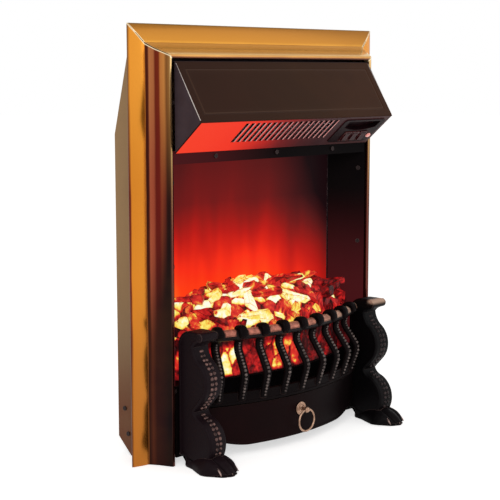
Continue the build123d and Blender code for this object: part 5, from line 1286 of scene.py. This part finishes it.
def scroll_boss(side):
    """The scroll's end: a low turned boss on each face of the leg, as rings about its middle."""
    radius, proud = np.array([(0.02, 0.55), (2.2, 0.5), (2.6, 0.1), (4.2, 0.15), (4.7, 0.5), (5.6, 0.42),
                              (6.1, -0.3)]).T[..., None]
    a = full_turn(24)
    parts = []
    for face, out in ((LEG_INSIDE, -side), (LEG_INSIDE + LEG_WIDTH, side)):
        parts.append(solid(surface(side * face + out * (proud - 0.45), -SCROLL_REACH + radius * np.cos(a),
                                   SCROLL_HEIGHT + radius * np.sin(a))))
    return parts


print("paw points", len(paw_skin(1)[0]), "claws", len(claws(1)))

# %% [markdown]
# The legs' coat is painted lighter and warmer on the left leg and darker on the right, as painted
# light and shade, and the two legs' beads are lit and shaded copies of one finish. Wear shows on
# its edges, and a painted highlight sits on the right scroll's top front.

# %% Leg finish and pieces
paint = Finish("leg_iron")
# painted light and shade: the left leg lighter, the right one darker
coat = paint.ramp(paint.ranged(paint.axis("X"), -0.1, 0.1), [(0.0, 23, 13, 17), (1.0, 6, 5, 6)])
coat = paint.worn(paint.mottled(coat, (16, 9, 12), 16.0, 0.3), (112, 90, 88), 0.0014, 0.6)
# painted highlight on the right scroll's top front
coat = paint.blend(paint.value("highlight_level"), coat, (206, 172, 150))
leg_iron = paint.shade(coat, (360.0, 0.32, 0.5, 0.15), specular=0.06)
# the claws' pale colour is a painted highlight on the toe tips
claw_highlight_finish = plain_finish("claw_highlight_finish", (168, 140, 132), (60, 46, 44), metallic=0.4, gloss=0.32, mottle=200,
                         amount=0.9, grain=900, depth=0.2)
# lit and shaded copies of one bead finish, for the left and right legs
lit_leg_bead_finish = plain_finish("lit_leg_bead_finish", (120, 90, 84), (32, 22, 23), metallic=0.4, gloss=0.3,
                              specular=0.2, mottle=150, amount=0.95, grain=900, depth=0.2)
shaded_leg_bead_finish = plain_finish("shaded_leg_bead_finish", (58, 46, 46), (18, 13, 14), metallic=0.4, gloss=0.3,
                             specular=0.15, mottle=150, amount=0.95, grain=900, depth=0.2)


def scroll_highlight_values(parts):
    """How strong the painted highlight is at each vertex: the top front of the right scroll, and nothing
    on the left.
    """
    x, y, z = np.concatenate([vertices for vertices, _ in parts]).T
    return share_of(-y, 72.0, 5.0) * share_of(z, 184.5, 4.0) * np.where(x > 0, 0.9, 0.0)


for side, node, rows_iron in ((-1, "leg_left", lit_leg_bead_finish), (1, "leg_right", shaded_leg_bead_finish)):
    castings = [leg_skin(side), paw_skin(side)] + scroll_boss(side)
    piece(node + "_cast", "fret", leg_iron, castings, [node], 45.0,
          {"highlight_level": scroll_highlight_values(castings)})
    piece(node + "_beads", "fret", rows_iron, bead_rows(side), [node], 60.0)
    piece(node + "_claws", "fret", claw_highlight_finish, claws(side), [node], 60.0)

# %% [markdown]
# ## The ash-pan cover and its ring
# A bowed sheet closes the space under the bar. Its lower edge is rolled, and sweeps up to meet
# the legs. It is a shell: a grid in x and height on a cylinder, with the roll added as a small
# swell near the lower edge. The pull is a turned brass rosette with rings cut in it, a ball on a
# neck, and a loop of wire whose joint shows as a thin seam.

# %% Cover
COVER_HALF, COVER_TOP, COVER_LOW, COVER_SWEEP = 161.6, 74.8, 15.2, 18.6
COVER_RADIUS = ARC_RADIUS + 1.0
cover_x = COVER_HALF * np.linspace(-1, 1, 120)
lower = COVER_LOW + COVER_SWEEP * share_of(np.abs(cover_x), 92.0, 70.0) ** 1.7
t = np.concatenate([np.linspace(0, 0.12, 12), np.linspace(0.14, 1, 20)])[:, None]
cover_z = lower + (COVER_TOP - lower) * t
roll = 1.15 * np.sin(share_of(cover_z, lower, 4.2) * math.pi) ** 0.7
cover_y = ARC_CENTRE - np.sqrt((COVER_RADIUS + roll) ** 2 - cover_x**2)
cover_sheet = shell(surface(cover_x, cover_y, cover_z), 1.8)

paint = Finish("cover_iron")
# painted shade: the cover darkens towards the right
drift = paint.ranged(paint.axis("X"), -0.12, 0.13)
coat = paint.ramp(drift, [(0.0, 27, 10, 11), (0.55, 22, 8, 9), (1.0, 9, 5, 6)])
coat = paint.worn(paint.mottled(coat, (16, 7, 8), 18.0, 0.5), (70, 52, 46), 0.0012, 0.6)
cover_iron = paint.shade(coat, (800.0, 0.12, 0.42, 0.12), specular=0.03)
piece("ashpan_cover_sheet", "ashpan", cover_iron, [cover_sheet], ["ashpan_cover"], 45.0)

# %% [markdown]
# The rosette and its knob are turned on a lathe, so each is a profile of distances and radii, spun
# about a line along Y. The ring is a small circle carried round a large one. The joint in its wire
# is a narrow dip in the small circle's radius.

# %% Rosette and ring
ROSETTE_HEIGHT, KNOB_OUT, KNOB_RADIUS = 53.0, 12.0, 4.6
RING_PLACE, RING_HEIGHT, RING_RADIUS, WIRE_RADIUS = -98.0, 37.3, 16.0, 1.5
aged_brass = plain_finish("ring_brass", (186, 150, 126), (112, 80, 64), metallic=0.85, gloss=0.3, mottle=130,
                          amount=0.7, grain=900, depth=0.15, wear=0.6, bare=(236, 214, 196), width=0.0008)


def turned_piece(profile, around):
    """A turned piece about a line along Y at the rosette: profile gives (distance from the
    cover, radius)."""
    out, radius = profile.T[..., None]
    a = full_turn(around)
    return solid(surface(radius * np.cos(a), ARC_CENTRE - COVER_RADIUS - out,
                         ROSETTE_HEIGHT + radius * np.sin(a)))


plate = rounded([(0.0, 9.6), (1.1, 9.9), (1.9, 9.0), (1.5, 7.9), (2.4, 7.1), (2.6, 6.0), (1.7, 5.2),
                 (2.3, 4.4), (2.6, 3.2), (4.4, 2.6), (8.0, 2.3), (8.6, 2.4)], 0.35, 4)
a = np.linspace(0.42, math.pi - 0.02, 14)
knob = np.stack([KNOB_OUT - KNOB_RADIUS * np.cos(a), KNOB_RADIUS * np.sin(a)], axis=-1)
rosette = [turned_piece(plate, 40), turned_piece(knob, 28)]
piece("ring_rosette_turned", "ashpan", aged_brass, rosette, ["ring_rosette"], 60.0)

turn, wire = full_turn(72)[:, None], full_turn(14)
wire_radius = WIRE_RADIUS * (1.0 - 0.12 * bell(turn, 4.9, 0.05))
radius = RING_RADIUS + wire_radius * np.cos(wire)
ring = surface(radius * np.cos(turn), RING_PLACE + wire_radius * np.sin(wire),
               RING_HEIGHT + radius * np.sin(turn))
ring = skin(ring, wrap=True, loop=True)
piece("ring_pull_wire", "ring", aged_brass, [ring], ["ring_pull"], 60.0)

# %% [markdown]
# ## Finishes for the nodes that keep their CAD shape
# Each remaining node gets one of the finishes above, or a close variant made here. The cheeks and
# the lintel share the firebox paint, with the red of the fire laid on as a faint glow: low down
# on the cheeks, and at the left end of the lintel.

# %% Finishes on CAD nodes
paint = Finish("firelit_paint")
height = paint.axis("Z")
leftwards = paint.ranged(paint.axis("X"), 0.02, -0.19)
on_lintel = paint.math("MULTIPLY", paint.ranged(height, 0.40, 0.42), leftwards)
lit = paint.math("MAXIMUM", paint.ranged(height, 0.37, 0.19), on_lintel)
coat = paint.mottled((9, 6, 7), (16, 10, 11), 14.0, 0.6)
paint.shade(coat, (900.0, 0.12, 0.5, 0.15), specular=0.02, glow=paint.blend(lit, (0, 0, 0), (66, 17, 20)))

lens = Finish("lens_plastic")
coat = lens.mottled((236, 168, 158), (206, 110, 100), 200.0, 0.6)
lens.shade(coat, (900.0, 0.05, 0.2, 0.08), glow=coat, strength=0.35)

members_of = {
    "firebox_paint": ["plinth_front", "firebox_deck", "ceiling_plate", "base_pan", "sleeve_left",
                      "sleeve_right", "screen_sill"],
    "firelit_paint": ["cheek_left", "cheek_right", "lintel"],
    "casing_paint": ["casing_left", "casing_right", "casing_top", "casing_back"],
    "bright_steel": ["fret_bolts", "corner_brackets", "fan_bearing", "spindle_bearing", "thermal_cutout"],
    "dark_screw_steel": ["casing_screws", "cheek_screws", "trim_screws", "lintel_screws"],
    "foil_aluminium": ["flame_spindle", "rear_reflector", "fan_wheel", "heater_element"],
    "motor_steel": ["fan_motor", "spindle_motor"],
    "galvanised_steel": ["heater_frame", "blower_housing", "spindle_brackets", "flame_mask"],
    "lamp_glass": ["lamps"],
    "holder_plastic": ["lamp_holders", "terminal_block"],
    "gland_plastic": ["cable_gland"],
    "panel_plastic": ["control_panel"],
    "switch_plastic": ["rocker_flame", "rocker_low_heat", "rocker_high_heat", "switch_bodies"],
    "post_paint": ["screen_post_left", "screen_post_right"],
    "lens_plastic": ["indicator_lamp"],
}
for finish, members in members_of.items():
    for member in members:
        dress(member, finishes[finish])
print("nodes dressed", sum(len(members) for members in members_of.values()))

# %% [markdown]
# ## The floor
# A wide pale floor under the insert. The photograph's ground is pure white, so the floor adds a
# little light of its own for the camera and for reflections, and still darkens under the object.

# %% Floor
FLOOR_HALF, FLOOR_DROP = 12, 0.0005
ground = Finish("studio_floor")
rays = ground.add("LightPath").outputs
seen = ground.math("MAXIMUM", rays["Is Camera Ray"], rays["Is Glossy Ray"])
shine = ground.math("MULTIPLY", seen, 0.6)
ground.feed(ground.shader, {"Base Color": (0.86, 0.86, 0.86, 1.0), "Roughness": 0.9,
                            "Specular IOR Level": 0.0, "Emission Color": WHITE, "Emission Strength": shine})
corners = [(x * FLOOR_HALF, y * FLOOR_HALF, -FLOOR_DROP) for x, y in ((-1, -1), (1, -1), (1, 1), (-1, 1))]
floor_mesh = bpy.data.meshes.new("studio_floor")
floor_mesh.from_pydata(corners, [], [(0, 1, 2, 3)])
floor_mesh.materials.append(ground.material)
floor = add_object("studio_floor", floor_mesh)
print("floor", 2 * FLOOR_HALF, "m wide")
